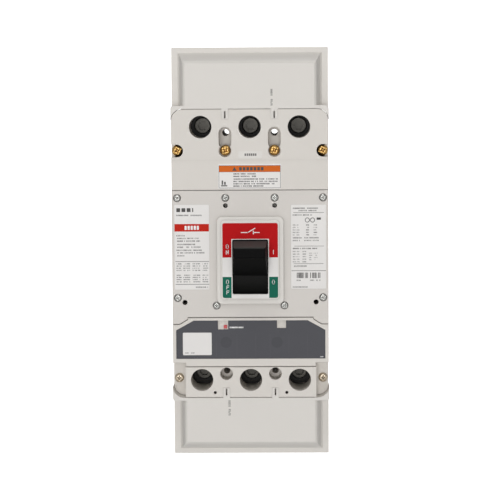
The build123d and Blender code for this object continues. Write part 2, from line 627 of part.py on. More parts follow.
def notch(margin, d_low):
    """Two small windows at the top of the printed face, cut down to a depth."""
    x, _ = BUTTON
    left = block((x - 6.5 - margin, x + 2.4 + margin), (d_low, COVER_FRONT + 1),
                 (TRIP_TOP - 4.5 - margin, TRIP_TOP + 3.5))
    right = block((23.6 - margin, 31.4 + margin), (d_low, COVER_FRONT + 1),
                  (TRIP_TOP - 3.4 - margin, TRIP_TOP + 3.5))
    return left + right


def trip_face_plate():
    """Dark printed face of the trip unit."""
    depth = COVER_FRONT - FACE_SINK
    plate = from_front(trip_face(TOUCH), depth, depth + FACE_PLATE)
    return plate - notch(TOUCH, depth - 1)


def trip_bar():
    """Common trip bar with a finger for every pole, one for the latch and one for the button."""
    bar = shaft(TRIP_BAR, TRIP_BAR_RADIUS, -TRIP_BAR_HALF + 4, TRIP_BAR_HALF - 4)
    bar += shaft(TRIP_BAR, TRIP_JOURNAL, -TRIP_BAR_HALF, TRIP_BAR_HALF)
    depth, height = TRIP_BAR
    for pole in POLES.values():
        bar += block((pole - 3, pole + 3), (depth - 6, depth - 3), (height - 8, height))
        bar += block((pole - 3, pole + 3), (depth - 6, depth + 1), (height - 2, height + 2))
    bar += block((-3, 3), (depth + 1, depth + 3.4), (height, height + 14))
    bar += block((BUTTON[0] - 2, BUTTON[0] + 2), (depth + 1, depth + 3.4), (height, height + 19))
    bar += block((BUTTON[0] - 2, BUTTON[0] + 2), (depth + 1, depth + 7), (height + 15, height + 19))
    return bar


def trip_button():
    """Push-to-trip button: a square cap on a round stem with a collar."""
    x, z = BUTTON
    front = COVER_FRONT - FACE_SINK - NOTCH_SINK
    cap = block((x - BUTTON_HALF, x + BUTTON_HALF), (front - 6, front + 1.0),
                (z - BUTTON_HALF, z + BUTTON_HALF))
    stem = post(x, z, BUTTON_STEM - 0.2, BUTTON_STEM_END, front - 5)
    return cap + stem + post(x, z, 3.0, COVER_FRONT - 26, COVER_FRONT - 24.5)


def trip_button_spring():
    """Return spring between the button's collar and the guide rib."""
    x, z = BUTTON
    low, high = COVER_FRONT - 24.4, COVER_FRONT - 12.1
    return coil_between(x, (low, z), (high, z), 2.9, 0.5)


def bimetal(pole):
    """Bimetal strip standing on the load conductor."""
    foot = -END + LUG_END_GAP + LUG_LENGTH + 3.5
    strip = block((pole - 4, pole + 4), (CONDUCTOR_FRONT, TRIP_BAR[0] - 3), (foot, foot + 1.2))
    return strip + block((pole - 4, pole + 4), (CONDUCTOR_FRONT, CONDUCTOR_FRONT + 1.5), (foot - 2, foot + 5))


def magnet_yoke(pole):
    """U-shaped iron round the load conductor."""
    low, high = TRIP_BAR[1] - 6, TRIP_BAR[1] + 7
    depth = (CONDUCTOR_BACK - 3, 34)
    yoke = block((pole - 11, pole + 11), (depth[0], CONDUCTOR_BACK - TOUCH), (low, high))
    for side in (-1, 1):
        x = sorted((pole + side * (CONDUCTOR_HALF + 1), pole + side * (CONDUCTOR_HALF + 3)))
        yoke += block(x, depth, (low, high))
    return yoke


def armature(pole):
    """Tilting iron plate above the magnet yoke, on two small trunnions."""
    low = TRIP_BAR[1] + 10
    pivot = (CONDUCTOR_FRONT + 5, low + 1)
    plate = block((pole - 10.5, pole + 10.5), (pivot[0] - 2, 46), (low, low + 2))
    return plate + shaft(pivot, 1.5, pole - 12.5, pole + 12.5)


# ---------------------------------------------------------------- current path
def line_conductor(pole):
    """Copper bar from the line lug down to the fixed contact."""
    top = END - LUG_END_GAP
    bar = block((pole - CONDUCTOR_HALF, pole + CONDUCTOR_HALF), (CONDUCTOR_BACK, CONDUCTOR_FRONT),
                (TIP_Z[0] - 2, top))
    return fillet(bar.edges().filter_by(Axis.Y), 2)


def load_conductor(pole):
    """Copper bar from the flexible lead down to the load lug."""
    bottom = -END + LUG_END_GAP
    bar = block((pole - CONDUCTOR_HALF, pole + CONDUCTOR_HALF), (CONDUCTOR_BACK, CONDUCTOR_FRONT),
                (bottom, -50))
    return fillet(bar.edges().filter_by(Axis.Y), 2)


def contact_tip(pole, depth):
    """Silver contact pad with its back on a depth."""
    tip = block((pole - TIP_HALF, pole + TIP_HALF), (depth, depth + TIP_THICK), TIP_Z)
    return fillet(tip.edges().filter_by(Axis.Y), 1.2)


def contact_arm(pole):
    """Moving contact arm, closed, held in the crossbar's carrier."""
    back = CONDUCTOR_FRONT + 2 * TIP_THICK + TIP_GAP
    top = TIP_Z[1] + 1.5
    face = outline((back, top), (back + 8, top), (back + 9, TIP_Z[0] - 2), (ARM_FRONT, CROSSBAR_Z + 16),
                   (ARM_FRONT, CROSSBAR_Z - 10), (24, CROSSBAR_Z - 10), (22.5, CROSSBAR_Z + 12),
                   (back, TIP_Z[0] - 4))
    return from_side(face, pole - ARM_HALF, pole + ARM_HALF)


def crossbar():
    """Moulded bar carrying the three contact arms, with a crank for the mechanism."""
    axis = (CROSSBAR_DEPTH, CROSSBAR_Z)
    half = POLE_PITCH + CARRIER_HALF + 6
    bar = shaft(axis, CROSSBAR_RADIUS, -half, half)
    for pole in POLES.values():
        span = (pole - CARRIER_HALF, pole + CARRIER_HALF)
        square = Pos(*axis) * RectangleRounded(2 * CARRIER_REACH, 2 * CARRIER_REACH, 3)
        bar += from_side(square, *span)
    crank = (axis[0] + CRANK[0], axis[1] + CRANK[1])
    lobe = outline((axis[0] - 6, axis[1]), (axis[0] + 9, axis[1]), (crank[0] + 4, crank[1]),
                   (crank[0] - 4, crank[1]))
    bar += from_side(lobe, -CARRIER_HALF, CARRIER_HALF)
    bar += shaft(crank, 4, -CARRIER_HALF, CARRIER_HALF)
    bar += shaft(crank, LINK_PIN, -CARRIER_HALF - 2.2, CARRIER_HALF + 2.2)
    for pole in POLES.values():
        slot = (pole - ARM_HALF - TOUCH, pole + ARM_HALF + TOUCH)
        bar -= block(slot, (CROSSBAR_DEPTH - 16, ARM_FRONT + TOUCH),
                     (CROSSBAR_Z - CARRIER_REACH - 1, CROSSBAR_Z + 25))
    return bar


def contact_spring(pole):
    """Spring between the carrier and the tail of the contact arm."""
    return coil_between(pole, (ARM_FRONT + 2 * TOUCH - 6, CROSSBAR_Z - 10.2),
                        (ARM_FRONT + 2 * TOUCH - 6, CROSSBAR_Z - 17), 2.6, 0.6)


def flexible_lead(pole):
    """Braided lead from the arm's root to the load conductor."""
    face = outline((23.2, CROSSBAR_Z - 2.5), (16.5, CROSSBAR_Z - 3.5), (9.5, CROSSBAR_Z - 14),
                   (CONDUCTOR_FRONT, -49), (CONDUCTOR_FRONT, -62), (CONDUCTOR_FRONT + 3, -62),
                   (CONDUCTOR_FRONT + 3, -51), (12.7, CROSSBAR_Z - 14), (18, CROSSBAR_Z - 6.5),
                   (23.2, CROSSBAR_Z - 5.5))
    return from_side(face, pole - ARM_HALF, pole + ARM_HALF)


def lug(pole, side):
    """Aluminium cable lug with its wire bore and the thread for the set screw."""
    middle = END - LUG_END_GAP - LUG_LENGTH / 2
    z = sorted((side * (middle - LUG_LENGTH / 2), side * (middle + LUG_LENGTH / 2)))
    body = block((pole - LUG_HALF, pole + LUG_HALF), (CONDUCTOR_FRONT, LUG_FRONT), z)
    body = chamfer(body.edges().filter_by(Axis.Z), 1.2)
    body -= from_end(Pos(pole, WIRE_DEPTH) * Circle(WIRE_RADIUS), z[0] - 1, z[1] + 1)
    body -= post(pole, side * TERMINAL_Z, SET_SCREW_RADIUS + RUN, WIRE_DEPTH, LUG_FRONT + 1)
    return body


def set_screw(pole, side):
    """Hex socket set screw, its chamfered rim towards the access well."""
    z = side * TERMINAL_Z
    screw = post(pole, z, SET_SCREW_RADIUS, SET_SCREW_FRONT - SET_SCREW_LENGTH, SET_SCREW_FRONT)
    screw = chamfer(screw.edges().filter_by(GeomType.CIRCLE), 0.9)
    socket = Pos(pole, z) * RegularPolygon(HEX_FLATS / 2, 6, major_radius=False)
    return screw - from_front(socket, SET_SCREW_FRONT - 6, SET_SCREW_FRONT + 1)


def arc_plate(pole, index):
    """Steel plate of an arc chute, notched for the contact arm."""
    pitch = (ARC_FRONT - ARC_BACK - ARC_PLATE) / (ARC_PLATES - 1)
    depth = ARC_BACK + index * pitch
    top = LINE_SCREW_Z - SCREW_BOSS - 1.5
    notch_z = ARC_BOTTOM + 14
    face = outline((-ARC_HALF, ARC_BOTTOM), (-5.5, ARC_BOTTOM), (-4, notch_z), (4, notch_z),
                   (5.5, ARC_BOTTOM), (ARC_HALF, ARC_BOTTOM), (ARC_HALF, top), (-ARC_HALF, top))
    return from_front(Pos(pole, 0) * face, depth, depth + ARC_PLATE)


def arc_wall(pole, side):
    """Fibre wall holding one edge of an arc chute's plates."""
    top = LINE_SCREW_Z - SCREW_BOSS - 1
    x = sorted((pole + side * (ARC_HALF + TOUCH), pole + side * (ARC_HALF + TOUCH + ARC_WALL)))
    return block(x, (ARC_BACK - 2, ARC_FRONT + 2), (ARC_BOTTOM - 1, top))


# ---------------------------------------------------------------- operating mechanism
def mechanism_frame():
    """Two steel side plates joined by spacer rods, with stub pins for the handle yoke."""
    face = outline((BASE_FLOOR, -46), (BASE_FLOOR, 2), (16, 6), (40, 30), (71, 31), (76, 14), (76, -37),
                   (66, -60), (36, -60), (24, -46))
    pieces = both(from_side(face, FRAME_HALF, FRAME_HALF + FRAME_PLATE))
    frame = pieces[0] + pieces[1]
    for rod in ((66, 27), (48, -53)):
        frame += shaft(rod, 2.5, -FRAME_HALF - 1, FRAME_HALF + 1)
    pivot = (HANDLE_DEPTH, HANDLE_Z)
    for side in (-1, 1):
        stub = sorted((side * (FRAME_HALF + 1), side * (FRAME_HALF + FRAME_PLATE + 2.4)))
        frame += shaft(pivot, 2.5, *stub)
    wide = FRAME_HALF + FRAME_PLATE + 1
    frame -= shaft((CROSSBAR_DEPTH, CROSSBAR_Z), CROSSBAR_RADIUS + PASS, -wide, wide)
    frame -= shaft(CRADLE_PIVOT, CRADLE_PIN + RUN, -wide, wide)
    frame -= shaft(LATCH_PIVOT, CRADLE_PIN + RUN, -wide, wide)
    return frame


def cradle():
    """Latched cradle on its trunnions, carrying the upper links' pivot."""
    face = outline((68, 20), (76, 20), (76.4, -43.4), (74, -49), (69.5, -49), (68, -40), (62, -34), (60, -29),
                   (62, -25), (67, -22))
    body = from_side(face, -CRADLE_HALF, CRADLE_HALF)
    body += shaft(CRADLE_PIVOT, 5, -CRADLE_HALF, CRADLE_HALF)
    body += shaft(CRADLE_PIVOT, CRADLE_PIN, -FRAME_HALF - FRAME_PLATE, FRAME_HALF + FRAME_PLATE)
    body += shaft(UPPER_PIVOT, LINK_PIN, -UPPER_INNER - LINK_PLATE, UPPER_INNER + LINK_PLATE)
    return body


def knee():
    """Depth and height of the toggle's knee with the contacts closed."""
    crank = (CROSSBAR_DEPTH + CRANK[0], CROSSBAR_Z + CRANK[1])
    run = math.hypot(crank[0] - UPPER_PIVOT[0], crank[1] - UPPER_PIVOT[1])
    way = math.atan2(crank[1] - UPPER_PIVOT[1], crank[0] - UPPER_PIVOT[0])
    bend = math.acos((UPPER_LENGTH ** 2 + run ** 2 - LOWER_LENGTH ** 2) / (2 * UPPER_LENGTH * run))
    return (UPPER_PIVOT[0] + UPPER_LENGTH * math.cos(way - bend),
            UPPER_PIVOT[1] + UPPER_LENGTH * math.sin(way - bend))


def upper_links():
    """Pair of links from the cradle to the toggle's knee."""
    hole = (LINK_PIN + RUN, LINK_PIN + RUN)
    return both(eye_bar(UPPER_PIVOT, knee(), LINK_EYE, hole, UPPER_INNER, UPPER_INNER + LINK_PLATE))


def lower_links():
    """Pair of links from the knee to the crossbar's crank, loose on the knee's pin."""
    crank = (CROSSBAR_DEPTH + CRANK[0], CROSSBAR_Z + CRANK[1])
    hole = (LINK_PIN + RUN, LINK_PIN + 1.1)
    return both(eye_bar(crank, knee(), LINK_EYE, hole, LOWER_INNER, LOWER_INNER + LINK_PLATE))


def toggle_pin():
    """Pin through the knee of the toggle, carrying the springs' hooks."""
    half = LOWER_INNER + LINK_PLATE + 0.6
    return shaft(knee(), LINK_PIN, -half, half)


def mechanism_springs():
    """Pair of strong springs from the yoke to the toggle's knee."""
    start = about_handle(YOKE_RADIUS - YOKE_PLATE - 0.4, HANDLE_TILT)
    end = knee()
    run = math.hypot(end[0] - start[0], end[1] - start[1])
    stop = 1 - (LINK_PIN + 0.3) / run
    finish = (start[0] + stop * (end[0] - start[0]), start[1] + stop * (end[1] - start[1]))
    return both(coil_between(SPRING_X, start, finish, SPRING_RADIUS, SPRING_WIRE))


def latch_lever():
    """Latch that hooks in front of the cradle's tip, with a tail for the trip bar."""
    face = outline((57.5, -72), (59.9, -72), (61.5, -60), (68, -54.5), (80, -54), (80, -47),
                   (77.6, -47), (77.6, -50), (66, -50), (58, -50.5), (56.5, -56))
    lever = from_side(face, -LATCH_HALF, LATCH_HALF)
    lever += shaft(LATCH_PIVOT, 4, -LATCH_HALF, LATCH_HALF)
    return lever + shaft(LATCH_PIVOT, CRADLE_PIN, -FRAME_HALF - FRAME_PLATE, FRAME_HALF + FRAME_PLATE)


def handle():
    """Tapered lever with rounded edges and a stub through the slide."""
    root = SLIDE_RADIUS + TOUCH
    half = [(root, LEVER_ROOT_HALF), (LEVER_ROOT_RADIUS, LEVER_ROOT_HALF), (LEVER_TIP_RADIUS, LEVER_TIP_HALF)]
    face = outline(*half, *[(radius, -rise) for radius, rise in reversed(half)])
    lever = from_side(Pos(HANDLE_DEPTH, HANDLE_Z) * face, -LEVER_WIDTH_ROOT, LEVER_WIDTH_ROOT)
    right = [(LEVER_WIDTH_ROOT, root), (LEVER_WIDTH_ROOT, root + 2), (LEVER_WIDTH_TIP, LEVER_TIP_RADIUS + 1)]
    width = Pos(0, HANDLE_DEPTH) * outline(*right, *[(-x, radius) for x, radius in reversed(right)])
    lever = lever & from_end(width, HANDLE_Z - 30, HANDLE_Z + 30)
    lever = fillet(lever.edges().group_by(Axis.Y)[0], 1.6)
    across, up = STUB_HALF
    lever += block((-across, across), (HANDLE_DEPTH + YOKE_RADIUS + TOUCH, HANDLE_DEPTH + root + 1),
                   (HANDLE_Z - up, HANDLE_Z + up))
    lever -= shaft((HANDLE_DEPTH, HANDLE_Z), SLIDE_RADIUS + TOUCH, -30, -across)
    lever -= shaft((HANDLE_DEPTH, HANDLE_Z), SLIDE_RADIUS + TOUCH, across, 30)
    return tilted(lever)


def slide_arc(radius):
    """Pie slice about the handle's pivot, as wide as the slide spreads."""
    spread = math.radians(SLIDE_SPREAD)
    high = (radius * math.cos(spread), radius * math.sin(spread))
    low = (high[0], -high[1])
    edge = [ThreePointArc(low, (radius, 0), high), Line(high, (0, 0)), Line((0, 0), low)]
    return Pos(HANDLE_DEPTH, HANDLE_Z) * make_face(edge)


def handle_slide():
    """Curved slide that closes the escutcheon's opening behind the handle."""
    band = from_side(slide_arc(SLIDE_RADIUS), -SLIDE_HALF, SLIDE_HALF)
    band -= shaft((HANDLE_DEPTH, HANDLE_Z), SLIDE_RADIUS - SLIDE_WALL, -SLIDE_HALF - 1, SLIDE_HALF + 1)
    across, up = STUB_HALF[0] + TOUCH, STUB_HALF[1] + TOUCH
    band -= block((-across, across), (HANDLE_DEPTH, HANDLE_DEPTH + SLIDE_RADIUS + 5),
                  (HANDLE_Z - up, HANDLE_Z + up))
    return tilted(band)


def handle_yoke():
    """Steel yoke: two arms on the frame's stub pins, joined by a bridge behind the handle."""
    inner = FRAME_HALF + FRAME_PLATE + 0.5
    outer = inner + YOKE_PLATE
    top = HANDLE_DEPTH + YOKE_RADIUS
    yoke = block((-outer, outer), (top - YOKE_PLATE, top), (HANDLE_Z - 7, HANDLE_Z + 7))
    for side in (-1, 1):
        span = sorted((side * inner, side * outer))
        arm = outline((HANDLE_DEPTH, HANDLE_Z - 5), (top, HANDLE_Z - 7), (top, HANDLE_Z + 7),
                      (HANDLE_DEPTH, HANDLE_Z + 5))
        yoke += from_side(arm, *span)
        yoke += shaft((HANDLE_DEPTH, HANDLE_Z), 5, *span)
        yoke -= shaft((HANDLE_DEPTH, HANDLE_Z), 2.5 + RUN, *span)
    return tilted(yoke)


# ---------------------------------------------------------------- output
def per_pole(maker, *options):
    """One solid for every pole."""
    return [maker(pole, *options) for pole in POLES.values()]


def upside_down(solid):
    """The solid turned half round about the front-to-back axis."""
    return solid.rotate(Axis.Y, 180)


def nodes():
    """Every node's name and solids."""
    moving = CONDUCTOR_FRONT + TIP_THICK + TIP_GAP
    strip = COVER_FRONT - LABEL_STEP_SINK
    found = {
        "base": base(),
        "line_cover": line_cover(),
        "load_cover": load_cover(),
        "accessory_lid": accessory_lid(),
        "escutcheon": escutcheon(),
        "handle_label": handle_label(),
        "line_shield": shield(),
        "load_shield": upside_down(shield()),
        "trip_housing": trip_housing(),
        "trip_face_plate": trip_face_plate(),
        "trip_blank_label": sticker((-60.6, -34.9), (-90.4, -70.2), COVER_FRONT - FACE_SINK + FACE_PLATE),
        "trip_bar": trip_bar(),
        "trip_button": trip_button(),
        "trip_button_spring": trip_button_spring(),
        "line_cover_screws": [pan_screw(x, z, LINE_HEAD, LINE_HEAD_SEAT, COVER_SHANK, COVER_SCREW_REACH)
                              for x, z in LINE_SCREWS],
        "load_cover_screws": [pan_screw(x, z, LOAD_HEAD, LOAD_HEAD_SEAT, COVER_SHANK, COVER_SCREW_REACH)
                              for x, z in LOAD_SCREWS],
        "lid_screws": [pan_screw(x, z, LID_HEAD, COVER_FRONT - LID_SEAT_SINK, LID_SHANK, 17.5)
                       for x, z in LID_SCREWS],
        "left_label": sticker((-67.4, -36.4), (-31.5, 44.3), COVER_FRONT),
        "right_label": sticker((36.2, 67.4), (-31.1, 43.9), COVER_FRONT),
        "information_label": sticker((-28.2, 27.6), (58.1, 80.4), strip),
        "small_label": sticker((-10.2, 11.0), (84.9, 91.8), COVER_FRONT),
        "handle": handle(),
        "handle_slide": handle_slide(),
        "handle_yoke": handle_yoke(),
        "mechanism_frame": mechanism_frame(),
        "mechanism_springs": mechanism_springs(),
        "cradle": cradle(),
        "upper_links": upper_links(),
        "lower_links": lower_links(),
        "toggle_pin": toggle_pin(),
        "latch_lever": latch_lever(),
        "crossbar": crossbar(),
        "contact_springs": per_pole(contact_spring),
        "moving_contacts": per_pole(contact_tip, moving),
        "fixed_contacts": per_pole(contact_tip, CONDUCTOR_FRONT),
        "flexible_leads": per_pole(flexible_lead),
        "bimetals": per_pole(bimetal),
        "magnet_yokes": per_pole(magnet_yoke),
        "line_set_screws": per_pole(set_screw, 1),
        "load_set_screws": per_pole(set_screw, -1),
        "arc_plates": [arc_plate(pole, index) for pole in POLES.values() for index in range(ARC_PLATES)],
        "arc_walls": [arc_wall(pole, side) for pole in POLES.values() for side in (-1, 1)],
    }
    for name, pole in POLES.items():
        found["contact_arm_" + name] = contact_arm(pole)
        found["line_conductor_" + name] = line_conductor(pole)
        found["load_conductor_" + name] = load_conductor(pole)
        found["line_lug_" + name] = lug(pole, 1)
        found["load_lug_" + name] = lug(pole, -1)
        found["armature_" + name] = armature(pole)
    return found


def write_nodes():
    """One STEP file for every node."""
    os.makedirs("parts", exist_ok=True)
    for name, solids in nodes().items():
        shape = Compound(children=solids) if isinstance(solids, list) else solids
        export_step(shape, f"parts/{name}.step")


write_nodes()
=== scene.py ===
"""Looks of the molded case breaker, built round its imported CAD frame."""

import logging
import math
from collections.abc import Sequence
from dataclasses import dataclass, field, replace
from enum import Enum
from typing import ClassVar

import bmesh
import bpy
from mathutils import Matrix, Vector


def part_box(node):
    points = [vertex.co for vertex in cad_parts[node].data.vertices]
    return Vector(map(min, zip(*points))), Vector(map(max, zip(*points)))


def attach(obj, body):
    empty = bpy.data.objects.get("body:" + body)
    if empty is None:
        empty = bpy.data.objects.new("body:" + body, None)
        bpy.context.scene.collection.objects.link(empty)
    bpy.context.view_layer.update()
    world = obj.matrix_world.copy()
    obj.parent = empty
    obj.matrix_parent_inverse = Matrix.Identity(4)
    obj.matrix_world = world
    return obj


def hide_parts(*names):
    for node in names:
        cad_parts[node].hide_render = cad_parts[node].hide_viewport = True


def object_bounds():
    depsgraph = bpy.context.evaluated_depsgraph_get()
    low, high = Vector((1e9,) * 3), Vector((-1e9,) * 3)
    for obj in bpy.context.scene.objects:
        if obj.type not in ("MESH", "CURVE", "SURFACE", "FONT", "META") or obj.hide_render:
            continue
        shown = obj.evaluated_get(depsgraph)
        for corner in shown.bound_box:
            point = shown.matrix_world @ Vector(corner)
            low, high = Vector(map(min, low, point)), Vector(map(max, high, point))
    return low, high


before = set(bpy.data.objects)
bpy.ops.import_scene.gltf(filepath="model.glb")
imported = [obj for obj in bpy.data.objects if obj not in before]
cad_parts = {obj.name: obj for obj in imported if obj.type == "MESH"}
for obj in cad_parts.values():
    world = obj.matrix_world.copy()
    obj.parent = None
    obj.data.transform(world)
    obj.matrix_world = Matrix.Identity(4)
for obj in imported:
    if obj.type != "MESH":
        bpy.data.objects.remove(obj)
CAD_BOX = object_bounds()
LOG = logging.getLogger("breaker")
MM = 0.001
INK = 0.03 * MM  # thickness of a printed mark
POLES = ("left", "centre", "right")
SRGB_TOE = 0.04045  # display share below which the curve is straight

Span = tuple[float, float]  # two limits, or a point across and up
Area = tuple[Span, Span]  # limits across and limits up
Way = tuple[Span, Span]  # start and end of a stroke
Place = tuple[float, float, float]


class Grain(Enum):
    """Surface structure that a finish carries."""

    MOULDED = "moulded"
    BRUSHED = "brushed"
    FIBRE = "fibre"


def linear(red: int, green: int, blue: int) -> Place:
    """Scene-linear colour of a display colour.

    Args:
        red: Red, 0 to 255.
        green: Green, 0 to 255.
        blue: Blue, 0 to 255.

    Returns:
        The three linear channels.
    """
    values = []
    for channel in (red, green, blue):
        share = channel / 255
        values.append(share / 12.92 if share <= SRGB_TOE else ((share + 0.055) / 1.055) ** 2.4)
    return (values[0], values[1], values[2])


def per_pole(*kinds: str) -> tuple[str, ...]:
    """Names of the CAD nodes of some kinds, one for each pole."""
    return tuple(f"{kind}_{pole}" for kind in kinds for pole in POLES)


# ---------------------------------------------------------------- shader groups
class ShaderGroups:
    """Node groups shared by the finishes, each made once."""

    NEAR_SAMPLES = 6
    PAINTED_SHEEN_FACING = (0.25, 0.95)  # how far up a face looks, where the painted highlight starts and where it is full
    STREAK_STRETCH = (1, 1, 14)

    def __init__(self) -> None:
        """Makes every group."""
        self.grain = self._grain()
        self.mottle = self._mottle()
        self.brushing = self._brushing()
        # painted shade: colour darkened where faces meet closely
        self.painted_crevice_shade = self._painted_crevice_shade()
        # painted highlight: lighter colour on faces that look up
        self.painted_sheen = self._painted_sheen()

    @staticmethod
    def _new(name: str, inputs: dict[str, float], outputs: tuple[str, ...]) \
            -> tuple[bpy.types.NodeTree, bpy.types.Node, bpy.types.Node]:
        """Starts an empty group with named value inputs and outputs.

        Args:
            name: The group's name.
            inputs: Each input's name and default.
            outputs: The outputs' names.

        Returns:
            The tree, its input node and its output node.
        """
        tree = bpy.data.node_groups.new(name, "ShaderNodeTree")
        for label, default in inputs.items():
            socket = tree.interface.new_socket(label, in_out="INPUT", socket_type="NodeSocketFloat")
            socket.default_value = default
        for label in outputs:
            tree.interface.new_socket(label, in_out="OUTPUT", socket_type="NodeSocketFloat")
        return tree, tree.nodes.new("NodeGroupInput"), tree.nodes.new("NodeGroupOutput")

    @staticmethod
    def _noise(tree: bpy.types.NodeTree, stretch: Place, detail: float) -> bpy.types.Node:
        """Adds noise on object coordinates.

        Args:
            tree: The group.
            stretch: Scale along each axis.
            detail: Octaves of the noise.

        Returns:
            The noise node.
        """
        place = tree.nodes.new("ShaderNodeTexCoord")
        mapping = tree.nodes.new("ShaderNodeMapping")
        mapping.inputs["Scale"].default_value = stretch
        noise = tree.nodes.new("ShaderNodeTexNoise")
        noise.inputs["Detail"].default_value = detail
        tree.links.new(place.outputs["Object"], mapping.inputs["Vector"])
        tree.links.new(mapping.outputs["Vector"], noise.inputs["Vector"])
        return noise

    @staticmethod
    def _math(tree: bpy.types.NodeTree, operation: str, values: dict[int, float] | None = None) -> bpy.types.Node:
        """Adds a maths node.

        Args:
            tree: The group.
            operation: What it does.
            values: Fixed inputs by their index.

        Returns:
            The maths node.
        """
        node = tree.nodes.new("ShaderNodeMath")
        node.operation = operation
        for index, value in (values or {}).items():
            node.inputs[index].default_value = value
        return node

    def _grain(self) -> bpy.types.NodeTree:
        """Builds the fine spark-eroded grain of a moulding.

        Returns:
            A group that puts out a height.
        """
        tree, given, result = self._new("moulding_grain", {"Scale": 900.0, "Strength": 1.0}, ("Height",))
        noise = self._noise(tree, (1, 1, 1), 4)
        noise.inputs["Roughness"].default_value = 0.65
        strength = self._math(tree, "MULTIPLY")
        tree.links.new(given.outputs["Scale"], noise.inputs["Scale"])
        tree.links.new(noise.outputs["Fac"], strength.inputs[0])
        tree.links.new(given.outputs["Strength"], strength.inputs[1])
        tree.links.new(strength.outputs[0], result.inputs["Height"])
        return tree

    def _mottle(self) -> bpy.types.NodeTree:
        """Builds a slow drift of tone over a surface.

        Returns:
            A group that puts out a tone around one.
        """
        tree, given, result = self._new("tone_drift", {"Scale": 18.0, "Amount": 0.04}, ("Tone",))
        noise = self._noise(tree, (1, 1, 1), 3)
        spread = self._math(tree, "MULTIPLY_ADD")
        offset = self._math(tree, "MULTIPLY_ADD", {1: -0.5, 2: 1.0})
        tree.links.new(given.outputs["Scale"], noise.inputs["Scale"])
        tree.links.new(given.outputs["Amount"], offset.inputs[0])
        tree.links.new(noise.outputs["Fac"], spread.inputs[0])
        tree.links.new(given.outputs["Amount"], spread.inputs[1])
        tree.links.new(offset.outputs[0], spread.inputs[2])
        tree.links.new(spread.outputs[0], result.inputs["Tone"])
        return tree

    def _brushing(self) -> bpy.types.NodeTree:
        """Builds the long fine streaks of drawn or brushed metal.

        Returns:
            A group that puts out a height and a streak value for the roughness.
        """
        tree, given, result = self._new("metal_streaks", {"Scale": 60.0, "Strength": 1.0}, ("Height", "Streak"))
        noise = self._noise(tree, self.STREAK_STRETCH, 5)
        strength = self._math(tree, "MULTIPLY")
        tree.links.new(given.outputs["Scale"], noise.inputs["Scale"])
        tree.links.new(noise.outputs["Fac"], strength.inputs[0])
        tree.links.new(given.outputs["Strength"], strength.inputs[1])
        tree.links.new(strength.outputs[0], result.inputs["Height"])
        tree.links.new(noise.outputs["Fac"], result.inputs["Streak"])
        return tree

    def _painted_crevice_shade(self) -> bpy.types.NodeTree:
        """Builds painted shade, a soft darkening of the colour where faces meet closely, from ambient occlusion.

        Returns:
            A group that puts out a tone of one or less.
        """
        tree, given, result = self._new("crevice_shade", {"Reach": 0.004, "Amount": 0.3}, ("Tone",))
        near = tree.nodes.new("ShaderNodeAmbientOcclusion")
        near.samples = self.NEAR_SAMPLES
        depth = self._math(tree, "SUBTRACT", {0: 1.0})
        shade = self._math(tree, "MULTIPLY")
        tone = self._math(tree, "SUBTRACT", {0: 1.0})
        tree.links.new(given.outputs["Reach"], near.inputs["Distance"])
        tree.links.new(near.outputs["AO"], depth.inputs[1])
        tree.links.new(depth.outputs[0], shade.inputs[0])
        tree.links.new(given.outputs["Amount"], shade.inputs[1])
        tree.links.new(shade.outputs[0], tone.inputs[1])
        tree.links.new(tone.outputs[0], result.inputs["Tone"])
        return tree

    def _painted_sheen(self) -> bpy.types.NodeTree:
        """Builds a mask of painted highlight, strongest on faces that look up, as if lit from above.

        Returns:
            A group that puts out the share of dust.
        """
        tree, given, result = self._new("painted_top_sheen", {"Amount": 0.5}, ("Mask",))
        place = tree.nodes.new("ShaderNodeTexCoord")
        parts = tree.nodes.new("ShaderNodeSeparateXYZ")
        facing = tree.nodes.new("ShaderNodeMapRange")
        facing.inputs["From Min"].default_value = self.PAINTED_SHEEN_FACING[0]
        facing.inputs["From Max"].default_value = self.PAINTED_SHEEN_FACING[1]
        mask = self._math(tree, "MULTIPLY")
        tree.links.new(place.outputs["Normal"], parts.inputs["Vector"])
        tree.links.new(parts.outputs["Z"], facing.inputs["Value"])
        tree.links.new(facing.outputs["Result"], mask.inputs[0])
        tree.links.new(given.outputs["Amount"], mask.inputs[1])
        tree.links.new(mask.outputs[0], result.inputs["Mask"])
        return tree


